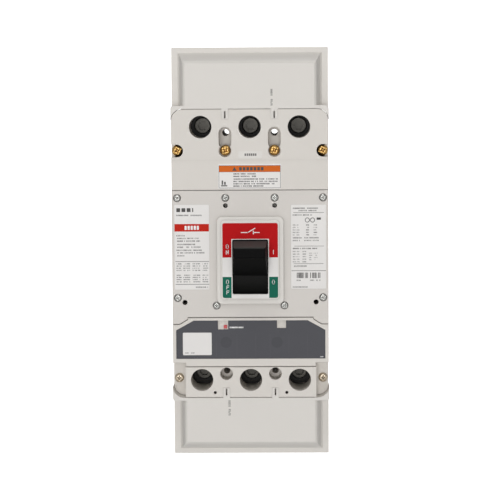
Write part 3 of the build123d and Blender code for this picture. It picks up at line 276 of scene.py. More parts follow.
@dataclass(frozen=True)
class Finish:
    """One surface finish of the breaker."""

    name: str
    colour: Place
    roughness: float = 0.5
    metallic: float = 0.0
    grain: Grain = Grain.MOULDED
    grain_scale: float = 900.0
    grain_height: float = 0.02
    drift: float = 0.03
    # share of painted shade that darkens the colour where faces meet closely
    painted_crevice_shade: float = 0.25
    specular: float = 0.4
    refraction: float = 1.5
    # share of painted highlight, a lighter grey on faces that look up, as if lit from above
    painted_sheen: float = 0.0
    painted_sheen_colour: Place = (0.12, 0.12, 0.115)
    drift_scale: float = 16.0
    # reach in metres of the painted crevice shade
    painted_shade_reach: float = 0.005
    relief: float = 0.5
    streak_spread: Span = (-0.06, 0.08)

    def make(self, groups: ShaderGroups) -> bpy.types.Material:
        """Builds the material.

        Args:
            groups: The shared shader groups.

        Returns:
            The finished material.
        """
        material = bpy.data.materials.new(self.name)
        material.use_nodes = True
        tree = material.node_tree
        shader = tree.nodes["Principled BSDF"]
        shader.inputs["Metallic"].default_value = self.metallic
        shader.inputs["Roughness"].default_value = self.roughness
        shader.inputs["Specular IOR Level"].default_value = self.specular
        shader.inputs["IOR"].default_value = self.refraction
        self._paint(tree, shader, groups)
        self._texture(tree, shader, groups)
        return material

    def _paint(self, tree: bpy.types.NodeTree, shader: bpy.types.Node, groups: ShaderGroups) -> None:
        """Drives the base colour by random tone drift, painted crevice shade and a painted highlight on faces that
        look up.

        Args:
            tree: The material's tree.
            shader: Its shader.
            groups: The shared shader groups.
        """
        drift = self._group(tree, groups.mottle, {"Scale": self.drift_scale, "Amount": self.drift})
        # painted shade: the colour darkens where faces meet closely
        painted_crevice_shade = self._group(tree, groups.painted_crevice_shade, {"Reach": self.painted_shade_reach, "Amount": self.painted_crevice_shade})
        # random tone drift times the painted crevice shade
        tone = tree.nodes.new("ShaderNodeMath")
        tone.operation = "MULTIPLY"
        tree.links.new(drift.outputs["Tone"], tone.inputs[0])
        tree.links.new(painted_crevice_shade.outputs["Tone"], tone.inputs[1])
        tint = tree.nodes.new("ShaderNodeMix")
        tint.data_type = "RGBA"
        tint.blend_type = "MULTIPLY"
        tint.inputs["Factor"].default_value = 1.0
        tint.inputs["A"].default_value = (*self.colour, 1.0)
        tree.links.new(tone.outputs[0], tint.inputs["B"])
        tree.links.new(tint.outputs["Result"], shader.inputs["Base Color"])
        # painted highlight: faces that look up turn towards a lighter grey, as if lit from above
        if self.painted_sheen > 0:
            painted_sheen_mask = self._group(tree, groups.painted_sheen, {"Amount": self.painted_sheen})
            cover = tree.nodes.new("ShaderNodeMix")
            cover.data_type = "RGBA"
            cover.inputs["B"].default_value = (*self.painted_sheen_colour, 1.0)
            tree.links.new(painted_sheen_mask.outputs["Mask"], cover.inputs["Factor"])
            tree.links.new(tint.outputs["Result"], cover.inputs["A"])
            tree.links.new(cover.outputs["Result"], shader.inputs["Base Color"])

    def _texture(self, tree: bpy.types.NodeTree, shader: bpy.types.Node, groups: ShaderGroups) -> None:
        """Drives the normal by the grain, and the roughness of brushed metal by its streaks.

        Args:
            tree: The material's tree.
            shader: Its shader.
            groups: The shared shader groups.
        """
        bump = tree.nodes.new("ShaderNodeBump")
        bump.inputs["Strength"].default_value = self.relief
        bump.inputs["Distance"].default_value = self.grain_height * MM
        source = groups.brushing if self.grain is Grain.BRUSHED else groups.grain
        structure = self._group(tree, source, {"Scale": self.grain_scale, "Strength": 1.0})
        tree.links.new(structure.outputs["Height"], bump.inputs["Height"])
        tree.links.new(bump.outputs["Normal"], shader.inputs["Normal"])
        if self.grain is Grain.BRUSHED:
            rough = tree.nodes.new("ShaderNodeMapRange")
            rough.inputs["To Min"].default_value = self.roughness + self.streak_spread[0]
            rough.inputs["To Max"].default_value = self.roughness + self.streak_spread[1]
            tree.links.new(structure.outputs["Streak"], rough.inputs["Value"])
            tree.links.new(rough.outputs["Result"], shader.inputs["Roughness"])

    @staticmethod
    def _group(tree: bpy.types.NodeTree, group: bpy.types.NodeTree, values: dict[str, float]) -> bpy.types.Node:
        """Places a shared group in a material, with its own values.

        Args:
            tree: The material's tree.
            group: The shared group.
            values: Each input's value by its name.

        Returns:
            The group's node.
        """
        node = tree.nodes.new("ShaderNodeGroup")
        node.node_tree = group
        for label, value in values.items():
            node.inputs[label].default_value = value
        return node


class Palette:
    """Every finish of the breaker, made into a material when first asked for."""

    FINISHES: ClassVar[dict[str, Finish]] = {
        "cover": Finish("warm_grey_cover", linear(221, 216, 209), 0.52, painted_crevice_shade=0.1),
        "lid": Finish("warm_grey_lid", linear(217, 212, 206), 0.52, painted_crevice_shade=0.45),
        "shield": Finish("warm_grey_shield", linear(223, 219, 213), 0.5, painted_crevice_shade=0.0),
        "base": Finish("warm_grey_base", linear(206, 202, 194), 0.58, painted_crevice_shade=0.12),
        "escutcheon": Finish("pale_escutcheon", linear(224, 220, 214), 0.45, painted_crevice_shade=0.45),
        "film": Finish("label_film", linear(228, 225, 222), 0.38, grain_height=0.004, painted_crevice_shade=0.0),
        "clear_film": Finish("clear_film", linear(221, 217, 211), 0.4, grain_height=0.004, painted_crevice_shade=0.0),
        "dark_face": Finish("charcoal_face", linear(82, 82, 87), 0.55, grain_height=0.01, drift=0.12, painted_crevice_shade=0.1,
                            specular=0.2),
        "dark_tone": Finish("charcoal_dark", linear(77, 77, 82), 0.55, grain_height=0.01, drift=0.2, specular=0.2),
        "light_tone": Finish("charcoal_light", linear(86, 86, 91), 0.55, grain_height=0.01, drift=0.2, specular=0.2),
        # the black handle carries a painted highlight on its faces that look up
        "black": Finish("black_moulding", linear(14, 14, 14), 0.6, grain_height=0.015, drift=0.1, specular=0.25,
                        refraction=1.2, painted_sheen=0.5),
        "slide": Finish("black_slide", linear(30, 30, 29), 0.6, grain_height=0.015, drift=0.1, specular=0.3,
                        refraction=1.25),
        "button": Finish("red_button", linear(190, 18, 22), 0.32, grain_height=0.005),
        "red": Finish("red_ink", linear(192, 8, 14), 0.6, specular=0.12, grain_height=0.004, painted_crevice_shade=0.0),
        "red_band": Finish("band_ink", linear(198, 36, 20), 0.6, specular=0.12, grain_height=0.004, painted_crevice_shade=0.0),
        "green": Finish("green_ink", linear(20, 104, 84), 0.6, specular=0.12, grain_height=0.004, painted_crevice_shade=0.0),
        "orange": Finish("orange_ink", linear(216, 106, 38), 0.6, specular=0.12, grain_height=0.004, painted_crevice_shade=0.0),
        "white_ink": Finish("white_ink", linear(236, 236, 234), 0.42, grain_height=0.004, painted_crevice_shade=0.0),
        "dark_ink": Finish("dark_ink", linear(62, 60, 58), 0.5, grain_height=0.004, painted_crevice_shade=0.0),
        "grey_ink": Finish("grey_ink", linear(112, 110, 107), 0.5, grain_height=0.004, painted_crevice_shade=0.0),
        "pale_ink": Finish("pale_ink", linear(166, 164, 161), 0.5, grain_height=0.004, painted_crevice_shade=0.0),
        "gold": Finish("yellow_zinc", linear(222, 180, 112), 0.34, 1.0, Grain.BRUSHED, 400.0, 0.01, 0.3),
        "zinc": Finish("champagne_zinc", linear(212, 198, 176), 0.32, 1.0, Grain.BRUSHED, 400.0, 0.01, 0.2),
        "silver_zinc": Finish("bright_zinc", linear(196, 196, 192), 0.3, 1.0, Grain.BRUSHED, 400.0, 0.01, 0.15),
        "steel": Finish("plated_steel", linear(168, 168, 165), 0.38, 1.0, Grain.BRUSHED, 80.0, 0.02, 0.1),
        "dark_steel": Finish("black_oxide", linear(64, 62, 58), 0.4, 0.7, Grain.BRUSHED, 200.0, 0.02, 0.2),
        "copper": Finish("copper_bar", linear(196, 124, 90), 0.32, 1.0, Grain.BRUSHED, 80.0, 0.02, 0.2),
        "silver": Finish("silver_contact", linear(216, 216, 212), 0.3, 1.0, Grain.BRUSHED, 200.0, 0.01, 0.1),
        "lug": Finish("dark_lug", linear(40, 39, 38), 0.5, 0.6, Grain.BRUSHED, 80.0, 0.02, 0.15),
        "fibre": Finish("vulcanised_fibre", linear(122, 72, 52), 0.7, grain=Grain.FIBRE, grain_scale=300.0,
                        grain_height=0.05, drift=0.2),
        "phenolic": Finish("phenolic_moulding", linear(44, 38, 34), 0.5, drift=0.15),
    }

    def __init__(self) -> None:
        """Makes the shared groups."""
        self.groups = ShaderGroups()
        self.made: dict[str, bpy.types.Material] = {}

    def get(self, key: str) -> bpy.types.Material:
        """The material of a finish, made when first asked for.

        Args:
            key: The finish.

        Returns:
            Its material.
        """
        if key not in self.made:
            self.made[key] = self.FINISHES[key].make(self.groups)
        return self.made[key]

    def dress(self, key: str, *nodes: str) -> None:
        """Gives CAD nodes a finish.

        Args:
            key: The finish.
            nodes: The CAD nodes.
        """
        for node in nodes:
            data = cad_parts[node].data
            data.materials.clear()
            data.materials.append(self.get(key))
            LOG.info("node %s has finish %s", node, key)


# ---------------------------------------------------------------- mesh helpers
def add_piece(name: str, mesh: bpy.types.Mesh, body: str) -> bpy.types.Object:
    """Adds a finished mesh to the scene, riding on a body.

    Args:
        name: The piece's name.
        mesh: Its mesh, in place.
        body: The body it moves with.

    Returns:
        The piece.
    """
    piece = bpy.data.objects.new(name, mesh)
    bpy.context.scene.collection.objects.link(piece)
    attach(piece, body)
    LOG.info("piece %s rides on %s", name, body)
    return piece


def front_of(node: str) -> float:
    """Y of a node's front face."""
    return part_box(node)[0].y


def round_corners(points: list[Span], radii: dict[int, float], steps: int = 5) -> list[Span]:
    """Rounds chosen corners of an outline.

    Args:
        points: Corners in order.
        radii: Radius by corner index.
        steps: Sides of each arc.

    Returns:
        The outline with arcs in place of those corners.
    """
    result = []
    for index, corner in enumerate(points):
        radius = radii.get(index, 0.0)
        here = Vector(corner)
        if radius == 0.0:
            result.append(tuple(here))
            continue
        before = here + (Vector(points[index - 1]) - here).normalized() * radius
        after = here + (Vector(points[(index + 1) % len(points)]) - here).normalized() * radius
        for step in range(steps + 1):
            share = step / steps
            curve = before.lerp(here, share).lerp(here.lerp(after, share), share)
            result.append(tuple(curve))
    return result


@dataclass(frozen=True)
class BarRow:
    """A row of equal bars: start, step and count across, and limits up. Millimetres."""

    start: float
    step: float
    count: int
    wide: float
    up: Span
    corner: float


@dataclass
class Print:
    """Flat printed marks on a front, gathered into one mesh. Sizes are in millimetres."""

    front: float
    outlines: list[list[Span]] = field(default_factory=list)

    def bar(self, x: Span, z: Span, corner: float = 0.0) -> None:
        """Adds a rectangle between limits across and up."""
        points = [(x[0], z[0]), (x[1], z[0]), (x[1], z[1]), (x[0], z[1])]
        self.outlines.append(round_corners(points, {i: corner for i in range(4)}) if corner else points)

    def row(self, bars: BarRow) -> None:
        """Adds a row of bars.

        Args:
            bars: The row.
        """
        for index in range(bars.count):
            low = bars.start + index * bars.step
            self.bar((low, low + bars.wide), bars.up, bars.corner)

    def shape(self, points: list[Span]) -> None:
        """Adds a closed outline, anticlockwise."""
        self.outlines.append(points)

    def stroke(self, start: Span, end: Span, width: float) -> None:
        """Adds a straight line with square ends.

        Args:
            start: Its first point.
            end: Its last point.
            width: Its width.
        """
        way = (Vector(end) - Vector(start)).normalized() * (width / 2)
        side = Vector((-way.y, way.x))
        first, last = Vector(start) - way, Vector(end) + way
        self.outlines.append([tuple(first - side), tuple(last - side), tuple(last + side), tuple(first + side)])

    def ring(self, centre: Span, radius: float, width: float, count: int = 20) -> None:
        """Adds a ring made of short strokes.

        Args:
            centre: Its centre.
            radius: Its radius at the middle of the line.
            width: The line's width.
            count: How many strokes.
        """
        turns = [math.tau * step / count for step in range(count + 1)]
        spots = [(centre[0] + radius * math.cos(turn), centre[1] + radius * math.sin(turn)) for turn in turns]
        for start, end in zip(spots, spots[1:]):
            self.stroke(start, end, width)

    def mesh(self, name: str, material: bpy.types.Material) -> bpy.types.Mesh:
        """Turns the marks into closed thin plates.

        Args:
            name: The mesh's name.
            material: The ink.

        Returns:
            The mesh, in place.
        """
        builder = bmesh.new()
        for points in self.outlines:
            lower = [builder.verts.new((x * MM, self.front, z * MM)) for x, z in points]
            upper = [builder.verts.new((x * MM, self.front - INK, z * MM)) for x, z in points]
            builder.faces.new(list(reversed(lower)))
            builder.faces.new(upper)
            for i in range(len(points)):
                j = (i + 1) % len(points)
                builder.faces.new((lower[i], lower[j], upper[j], upper[i]))
        bmesh.ops.recalc_face_normals(builder, faces=builder.faces)
        mesh = bpy.data.meshes.new(name)
        builder.to_mesh(mesh)
        builder.free()
        mesh.materials.append(material)
        return mesh


# ---------------------------------------------------------------- geometry trees
class TreeKit:
    """Helps build and run a geometry node tree."""

    def __init__(self, name: str) -> None:
        """Starts a tree with a geometry input and output.

        Args:
            name: The tree's name.
        """
        self.tree = bpy.data.node_groups.new(name, "GeometryNodeTree")
        self.tree.interface.new_socket("Geometry", in_out="INPUT", socket_type="NodeSocketGeometry")
        self.tree.interface.new_socket("Geometry", in_out="OUTPUT", socket_type="NodeSocketGeometry")
        self.given = self.tree.nodes.new("NodeGroupInput")
        self.result = self.tree.nodes.new("NodeGroupOutput")

    def add_input(self, name: str, kind: str, default: float | int | None = None) -> None:
        """Adds a named input.

        Args:
            name: Its name.
            kind: What it takes, such as Float, Int or Material.
            default: Its value where none is given.
        """
        socket = self.tree.interface.new_socket(name, in_out="INPUT", socket_type="NodeSocket" + kind)
        if default is not None:
            socket.default_value = default

    def node(self, kind: str, **values: object) -> bpy.types.Node:
        """Adds a node and sets its properties.

        Args:
            kind: The node's type.
            values: Its properties by name.

        Returns:
            The node.
        """
        made = self.tree.nodes.new(kind)
        for key, value in values.items():
            setattr(made, key, value)
        return made

    def link(self, start: bpy.types.NodeSocket, end: bpy.types.NodeSocket) -> None:
        """Links two sockets."""
        self.tree.links.new(start, end)

    def finish(self, instances: bpy.types.NodeSocket) -> None:
        """Ends the tree in Realize Instances and Set Material.

        Args:
            instances: The output to end with.
        """
        real = self.node("GeometryNodeRealizeInstances")
        paint = self.node("GeometryNodeSetMaterial")
        self.link(instances, real.inputs["Geometry"])
        self.link(real.outputs["Geometry"], paint.inputs["Geometry"])
        self.link(self.given.outputs["Material"], paint.inputs["Material"])
        self.link(paint.outputs["Geometry"], self.result.inputs["Geometry"])

    def run(self, name: str, values: dict[str, object], seed_mesh: bpy.types.Mesh | None = None) -> bpy.types.Mesh:
        """Runs the tree on a fresh object.

        Args:
            name: Name of the resulting mesh.
            values: Each input's value by its name.
            seed_mesh: Mesh handed to the tree, or none.

        Returns:
            The plain mesh that the tree makes.
        """
        holder = bpy.data.objects.new(name + "_holder", seed_mesh or bpy.data.meshes.new(name + "_seed"))
        bpy.context.scene.collection.objects.link(holder)
        modifier = holder.modifiers.new("tree", "NODES")
        modifier.node_group = self.tree
        for item in self.tree.interface.items_tree:
            if item.in_out == "INPUT" and item.name in values:
                modifier[item.identifier] = values[item.name]
        bpy.context.view_layer.update()
        shown = holder.evaluated_get(bpy.context.evaluated_depsgraph_get())
        mesh = bpy.data.meshes.new_from_object(shown)
        mesh.name = name
        bpy.data.objects.remove(holder)
        return mesh


def text_rows_tree() -> TreeKit:
    """Builds rows of small bars of uneven length that stand in for fine print.

    Returns:
        The tree, which needs no mesh handed in.
    """
    kit = TreeKit("fine_print")
    for name, kind, default in (("Width", "Float", 0.02), ("Height", "Float", 0.01), ("Columns", "Int", 12),
                                ("Rows", "Int", 4), ("Glyph Width", "Float", 0.001), ("Glyph Height", "Float", 0.001),
                                ("Shortest", "Float", 0.5), ("Kept", "Float", 0.85), ("Thickness", "Float", INK),
                                ("Seed", "Int", 1), ("Material", "Material", None)):
        kit.add_input(name, kind, default)
    grid = kit.node("GeometryNodeMeshGrid")
    kit.link(kit.given.outputs["Width"], grid.inputs["Size X"])
    kit.link(kit.given.outputs["Height"], grid.inputs["Size Y"])
    kit.link(kit.given.outputs["Columns"], grid.inputs["Vertices X"])
    kit.link(kit.given.outputs["Rows"], grid.inputs["Vertices Y"])
    upright = kit.node("GeometryNodeTransform")
    upright.inputs["Rotation"].default_value = (math.pi / 2, 0, 0)
    kit.link(grid.outputs["Mesh"], upright.inputs["Geometry"])
    keep = kit.node("FunctionNodeRandomValue", data_type="BOOLEAN")
    kit.link(kit.given.outputs["Kept"], keep.inputs["Probability"])
    kit.link(kit.given.outputs["Seed"], keep.inputs["Seed"])
    size = kit.node("ShaderNodeCombineXYZ")
    kit.link(kit.given.outputs["Glyph Width"], size.inputs["X"])
    kit.link(kit.given.outputs["Thickness"], size.inputs["Y"])
    kit.link(kit.given.outputs["Glyph Height"], size.inputs["Z"])
    glyph = kit.node("GeometryNodeMeshCube")
    kit.link(size.outputs["Vector"], glyph.inputs["Size"])
    length = kit.node("FunctionNodeRandomValue", data_type="FLOAT")
    length.inputs["Max"].default_value = 1.0
    kit.link(kit.given.outputs["Shortest"], length.inputs["Min"])
    kit.link(kit.given.outputs["Seed"], length.inputs["Seed"])
    scale = kit.node("ShaderNodeCombineXYZ")
    scale.inputs["Y"].default_value = 1.0
    scale.inputs["Z"].default_value = 1.0
    kit.link(length.outputs["Value"], scale.inputs["X"])
    place = kit.node("GeometryNodeInstanceOnPoints")
    kit.link(upright.outputs["Geometry"], place.inputs["Points"])
    kit.link(keep.outputs["Value"], place.inputs["Selection"])
    kit.link(glyph.outputs["Mesh"], place.inputs["Instance"])
    kit.link(scale.outputs["Vector"], place.inputs["Scale"])
    kit.finish(place.outputs["Instances"])
    return kit


def screw_heads_tree() -> TreeKit:
    """Builds one screw on every point, each turned differently about its own axis.

    Returns:
        The tree, which takes a mesh of points.
    """
    kit = TreeKit("screw_heads")
    kit.add_input("Head", "Object")
    kit.add_input("Seed", "Int", 1)
    kit.add_input("Material", "Material")
    head = kit.node("GeometryNodeObjectInfo")
    kit.link(kit.given.outputs["Head"], head.inputs["Object"])
    turn = kit.node("FunctionNodeRandomValue", data_type="FLOAT")
    turn.inputs["Max"].default_value = math.pi
    kit.link(kit.given.outputs["Seed"], turn.inputs["Seed"])
    angles = kit.node("ShaderNodeCombineXYZ")
    kit.link(turn.outputs["Value"], angles.inputs["Y"])
    place = kit.node("GeometryNodeInstanceOnPoints")
    kit.link(kit.given.outputs["Geometry"], place.inputs["Points"])
    kit.link(head.outputs["Geometry"], place.inputs["Instance"])
    kit.link(angles.outputs["Vector"], place.inputs["Rotation"])
    kit.finish(place.outputs["Instances"])
    return kit


def coil_tree() -> TreeKit:
    """Builds round wire wound into a helix along Z.

    Returns:
        The tree, which needs no mesh handed in.
    """
    kit = TreeKit("wound_spring")
    for name, kind, default in (("Radius", "Float", 0.002), ("Wire", "Float", 0.0004), ("Length", "Float", 0.02),
                                ("Turns", "Float", 10.0), ("Material", "Material", None)):
        kit.add_input(name, kind, default)
    helix = kit.node("GeometryNodeCurveSpiral")
    helix.inputs["Resolution"].default_value = 20
    kit.link(kit.given.outputs["Turns"], helix.inputs["Rotations"])
    kit.link(kit.given.outputs["Radius"], helix.inputs["Start Radius"])
    kit.link(kit.given.outputs["Radius"], helix.inputs["End Radius"])
    kit.link(kit.given.outputs["Length"], helix.inputs["Height"])
    wire = kit.node("GeometryNodeCurvePrimitiveCircle")
    wire.inputs["Resolution"].default_value = 10
    kit.link(kit.given.outputs["Wire"], wire.inputs["Radius"])
    tube = kit.node("GeometryNodeCurveToMesh")
    tube.inputs["Fill Caps"].default_value = True
    kit.link(helix.outputs["Curve"], tube.inputs["Curve"])
    kit.link(wire.outputs["Curve"], tube.inputs["Profile Curve"])
    kit.finish(tube.outputs["Mesh"])
    return kit


# ---------------------------------------------------------------- screws
class Drive(Enum):
    """Shape cut into a screw head."""

    CROSS = "cross"
    CROSS_AND_SLOT = "cross and slot"


@dataclass(frozen=True)
class ScrewSet:
    """Screws of one kind: pan heads with a recess, standing for a CAD node. Sizes in millimetres."""

    # The crown's outline, in shares of the head's radius and height.
    CROWN: ClassVar[tuple[Span, ...]] = ((0.0, 1.0), (0.45, 0.985), (0.72, 0.88), (0.9, 0.66), (0.985, 0.36),
                                         (1.0, 0.1), (0.97, 0.0))

    node: str
    finish: str
    slot: str
    radius: float
    height: float
    shank: float
    drive: Drive = Drive.CROSS
    seed: int = 1
    segments: int = 40
    ring_depth: float = 0.2
    cross_reach: float = 0.56
    cross_arm: float = 0.13
    slot_arm: float = 0.1
    slot_reach: float = 1.1
    cross_taper: float = 0.55
    cross_depth: float = 0.7
    slot_depth: float = 0.3
    overshoot: float = 0.1
    smooth_area: float = 2.2

    def centres(self) -> list[Span]:
        """Finds the centres of the heads from the CAD node's front rings.

        Returns:
            Each centre, across and up, in metres.
        """
        front = front_of(self.node)
        reach = 2.2 * self.radius * MM  # a ring is two radii across
        groups: list[list[Vector]] = []
        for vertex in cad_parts[self.node].data.vertices:
            if vertex.co.y > front + self.ring_depth * MM:
                continue
            spot = Vector((vertex.co.x, vertex.co.z))
            home = next((group for group in groups if (group[0] - spot).length < reach), None)
            if home is None:
                groups.append([spot])
            else:
                home.append(spot)
        middle = []
        for group in groups:
            xs, zs = [spot.x for spot in group], [spot.y for spot in group]
            middle.append(((min(xs) + max(xs)) / 2, (min(zs) + max(zs)) / 2))
        return middle

    def head(self) -> bpy.types.Object:
        """Turns one screw about the Y axis, its head's underside at Y = 0.

        Returns:
            An object holding the screw.
        """
        radius, height = self.radius * MM, self.height * MM
        length = (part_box(self.node)[1].y - front_of(self.node)) - height
        crown = [(across * radius, -up * height) for across, up in self.CROWN]
        profile = crown + [(self.shank * MM, 0.0), (self.shank * MM, length), (0.0, length)]
        builder = bmesh.new()
        spine = [builder.verts.new((x, y, 0)) for x, y in profile]
        edges = [builder.edges.new(pair) for pair in zip(spine, spine[1:])]
        bmesh.ops.spin(builder, geom=spine + edges, cent=(0, 0, 0), axis=(0, 1, 0), angle=math.tau,
                       steps=self.segments, use_merge=True)
        bmesh.ops.remove_doubles(builder, verts=builder.verts, dist=1e-7)
        bmesh.ops.recalc_face_normals(builder, faces=builder.faces)
        return self._cut(self._holder("screw", builder), radius, height)

    @staticmethod
    def _holder(name: str, builder: bmesh.types.BMesh) -> bpy.types.Object:
        """Puts a built mesh in an object.

        Args:
            name: The object's name.
            builder: The mesh, which is freed.

        Returns:
            The object.
        """
        mesh = bpy.data.meshes.new(name)
        builder.to_mesh(mesh)
        builder.free()
        holder = bpy.data.objects.new(name, mesh)
        bpy.context.scene.collection.objects.link(holder)
        return holder

    def _cut(self, screw: bpy.types.Object, radius: float, height: float) -> bpy.types.Object:
        """Cuts the drive recess into the head.

        Args:
            screw: The screw.
            radius: The head's radius in metres.
            height: The head's height in metres.

        Returns:
            The screw.
        """
        cutter = bmesh.new()
        arms = [(self.cross_reach, self.cross_arm, self.cross_depth, self.cross_taper),
                (self.cross_arm, self.cross_reach, self.cross_depth, self.cross_taper)]
        if self.drive is Drive.CROSS_AND_SLOT:
            arms.append((self.slot_reach, self.slot_arm, self.slot_depth, 1.0))
        for across_share, up_share, depth, deep_taper in arms:
            across, up = across_share * radius, up_share * radius
            made = bmesh.ops.create_cube(cutter, size=1.0)["verts"]
            for vertex in made:
                taper = 1.0 if vertex.co.y < 0 else deep_taper
                middle = -height * (1 - depth / 2) - self.overshoot * height
                y = middle + vertex.co.y * height * (depth + 2 * self.overshoot)
                vertex.co = Vector((vertex.co.x * 2 * across * taper, y, vertex.co.z * 2 * up * taper))
        tool = self._holder("drive", cutter)
        modifier = screw.modifiers.new("recess", "BOOLEAN")
        modifier.object = tool
        modifier.operation = "DIFFERENCE"
        modifier.solver = "EXACT"
        modifier.use_self = True
        bpy.context.view_layer.update()
        shown = screw.evaluated_get(bpy.context.evaluated_depsgraph_get())
        mesh = bpy.data.meshes.new_from_object(shown)
        screw.modifiers.clear()
        screw.data = mesh
        bpy.data.objects.remove(tool)
        return screw

    def build(self, palette: Palette, tree: TreeKit) -> None:
        """Makes the set and lets it stand for the CAD node.

        Args:
            palette: The finishes.
            tree: The screw head tree.
        """
        seat = front_of(self.node) + self.height * MM
        points = bpy.data.meshes.new(self.node + "_points")
        points.from_pydata([(x, seat, z) for x, z in self.centres()], [], [])
        head = self.head()
        values = {"Head": head, "Seed": self.seed, "Material": palette.get(self.finish)}
        mesh = tree.run(self.node + "_set", values, points)
        bpy.data.objects.remove(head)
        for face in mesh.polygons:
            face.use_smooth = face.area < self.smooth_area * MM * MM
        piece = add_piece(self.node + "_set", mesh, "case")
        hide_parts(self.node)


# ---------------------------------------------------------------- labels
@dataclass(frozen=True)
class FinePrint:
    """A block of fine print: limits across, top row, row pitch and count. Millimetres."""

    x: Span
    top: float
    rows: int = 1
    pitch: float = 2.4
    glyph: Span = (0.8, 1.15)
    kept: float = 0.86
    shortest: float = 0.45

    def columns(self, spans: Sequence[Span]) -> "list[FinePrint]":
        """The same rows in several columns."""
        return [replace(self, x=span) for span in spans]


@dataclass
class Label:
    """A printed label: fine print in one ink and solid marks in others, on a front."""

    name: str
    carrier: str
    slot: str = "printed_label"
    body: str = "case"
    ink: str = "grey_ink"
    spacing: float = 1.15
    first_seed: int = 11

    def print_blocks(self, blocks: Sequence[FinePrint], palette: Palette, tree: TreeKit, ink: str | None = None,
                     tag: str = "text") -> None:
        """Prints blocks of fine print as one piece.

        Args:
            blocks: The blocks.
            palette: The finishes.
            tree: The fine print tree.
            ink: The ink, or the label's own.
            tag: Ending of the piece's name.
        """
        front = front_of(self.carrier)
        material = palette.get(ink or self.ink)
        builder = bmesh.new()
        for index, block in enumerate(blocks):
            width = (block.x[1] - block.x[0]) - block.glyph[0]
            columns = max(2, round(width / (block.glyph[0] * self.spacing)) + 1)
            height = (block.rows - 1) * block.pitch
            mesh = tree.run(f"{self.name}_block", {
                "Width": width * MM, "Height": max(height, 1e-3) * MM, "Columns": columns, "Rows": block.rows,
                "Glyph Width": block.glyph[0] * MM, "Glyph Height": block.glyph[1] * MM, "Shortest": block.shortest,
                "Kept": block.kept, "Thickness": INK, "Seed": self.first_seed + index, "Material": material})
            middle = Vector(((block.x[0] + block.x[1]) / 2 * MM, front - INK / 2, (block.top - height / 2) * MM))
            mesh.transform(Matrix.Translation(middle))
            builder.from_mesh(mesh)
        whole = bpy.data.meshes.new(f"{self.name}_{tag}")
        builder.to_mesh(whole)
        builder.free()
        whole.materials.append(material)
        add_piece(f"{self.name}_{tag}", whole, self.body)

    def mark(self, tag: str, ink: str, palette: Palette, areas: Sequence[Area]) -> None:
        """Prints solid rectangles as one piece.

        Args:
            tag: Ending of the piece's name.
            ink: The ink.
            palette: The finishes.
            areas: Limits across and up of each rectangle.
        """
        marks = Print(front_of(self.carrier))
        for x, z in areas:
            marks.bar(x, z)
        self.place(tag, ink, palette, marks)

    def place(self, tag: str, ink: str, palette: Palette, marks: Print) -> None:
        """Adds printed marks as one piece of the label.

        Args:
            tag: Ending of the piece's name.
            ink: The ink.
            palette: The finishes.
            marks: The marks.
        """
        name = f"{self.name}_{tag}"
        add_piece(name, marks.mesh(name, palette.get(ink)), self.body)


@dataclass
class LeftPlate(Label):
    """Left plate: a plain emblem, a red band and a small table. Sizes in millimetres."""

    name: str = "left_plate"
    carrier: str = "left_label"
    emblem: BarRow = BarRow(-65.4, 4.6, 3, 3.4, (37.8, 41.2), 0.5)
    emblem_end: Area = ((-51.4, -50.4), (37.8, 41.2))
    band: Area = ((-67.2, -36.6), (20.4, 27.1))
    band_marks: BarRow = BarRow(-58.2, 2.7, 5, 1.9, (21.9, 25.5), 0.3)
    rules: tuple[Area, ...] = (((-66.6, -36.6), (-6.6, -6.1)), ((-66.6, -36.6), (-27.0, -26.5)))
    lines: tuple[tuple[Span, float], ...] = (
        ((-65.6, -42.0), 34.8), ((-65.7, -57.2), 16.7), ((-65.0, -45.0), 14.3), ((-65.0, -44.4), 11.9),
        ((-65.7, -49.0), 8.9), ((-65.0, -44.2), 6.5), ((-65.7, -43.0), 3.7), ((-65.0, -40.8), 1.4),
        ((-65.0, -58.6), -1.2), ((-48.6, -37.6), -29.3))
    table_columns: tuple[Span, ...] = ((-65.7, -61.2), (-59.6, -53.6), (-51.4, -44.6), (-42.6, -37.6))
    table_tops: tuple[float, ...] = (-8.4, -18.6)
    table: FinePrint = FinePrint((0.0, 0.0), 0.0, 4, 1.95, (0.6, 0.95), 0.8)

    def build(self, palette: Palette, tree: TreeKit) -> None:
        """Prints the plate.

        Args:
            palette: The finishes.
            tree: The fine print tree.
        """
        front = front_of(self.carrier)
        emblem = Print(front)
        emblem.row(self.emblem)
        emblem.bar(*self.emblem_end)
        self.place("emblem", "dark_ink", palette, emblem)
        self.mark("band", "red_band", palette, [self.band])
        band = Print(front - INK)
        band.row(self.band_marks)
        self.place("band_marks", "white_ink", palette, band)
        self.mark("rules", "grey_ink", palette, self.rules)
        blocks = [FinePrint(x, top) for x, top in self.lines]
        blocks += [replace(self.table, x=x, top=top) for x in self.table_columns for top in self.table_tops]
        self.print_blocks(blocks, palette, tree)


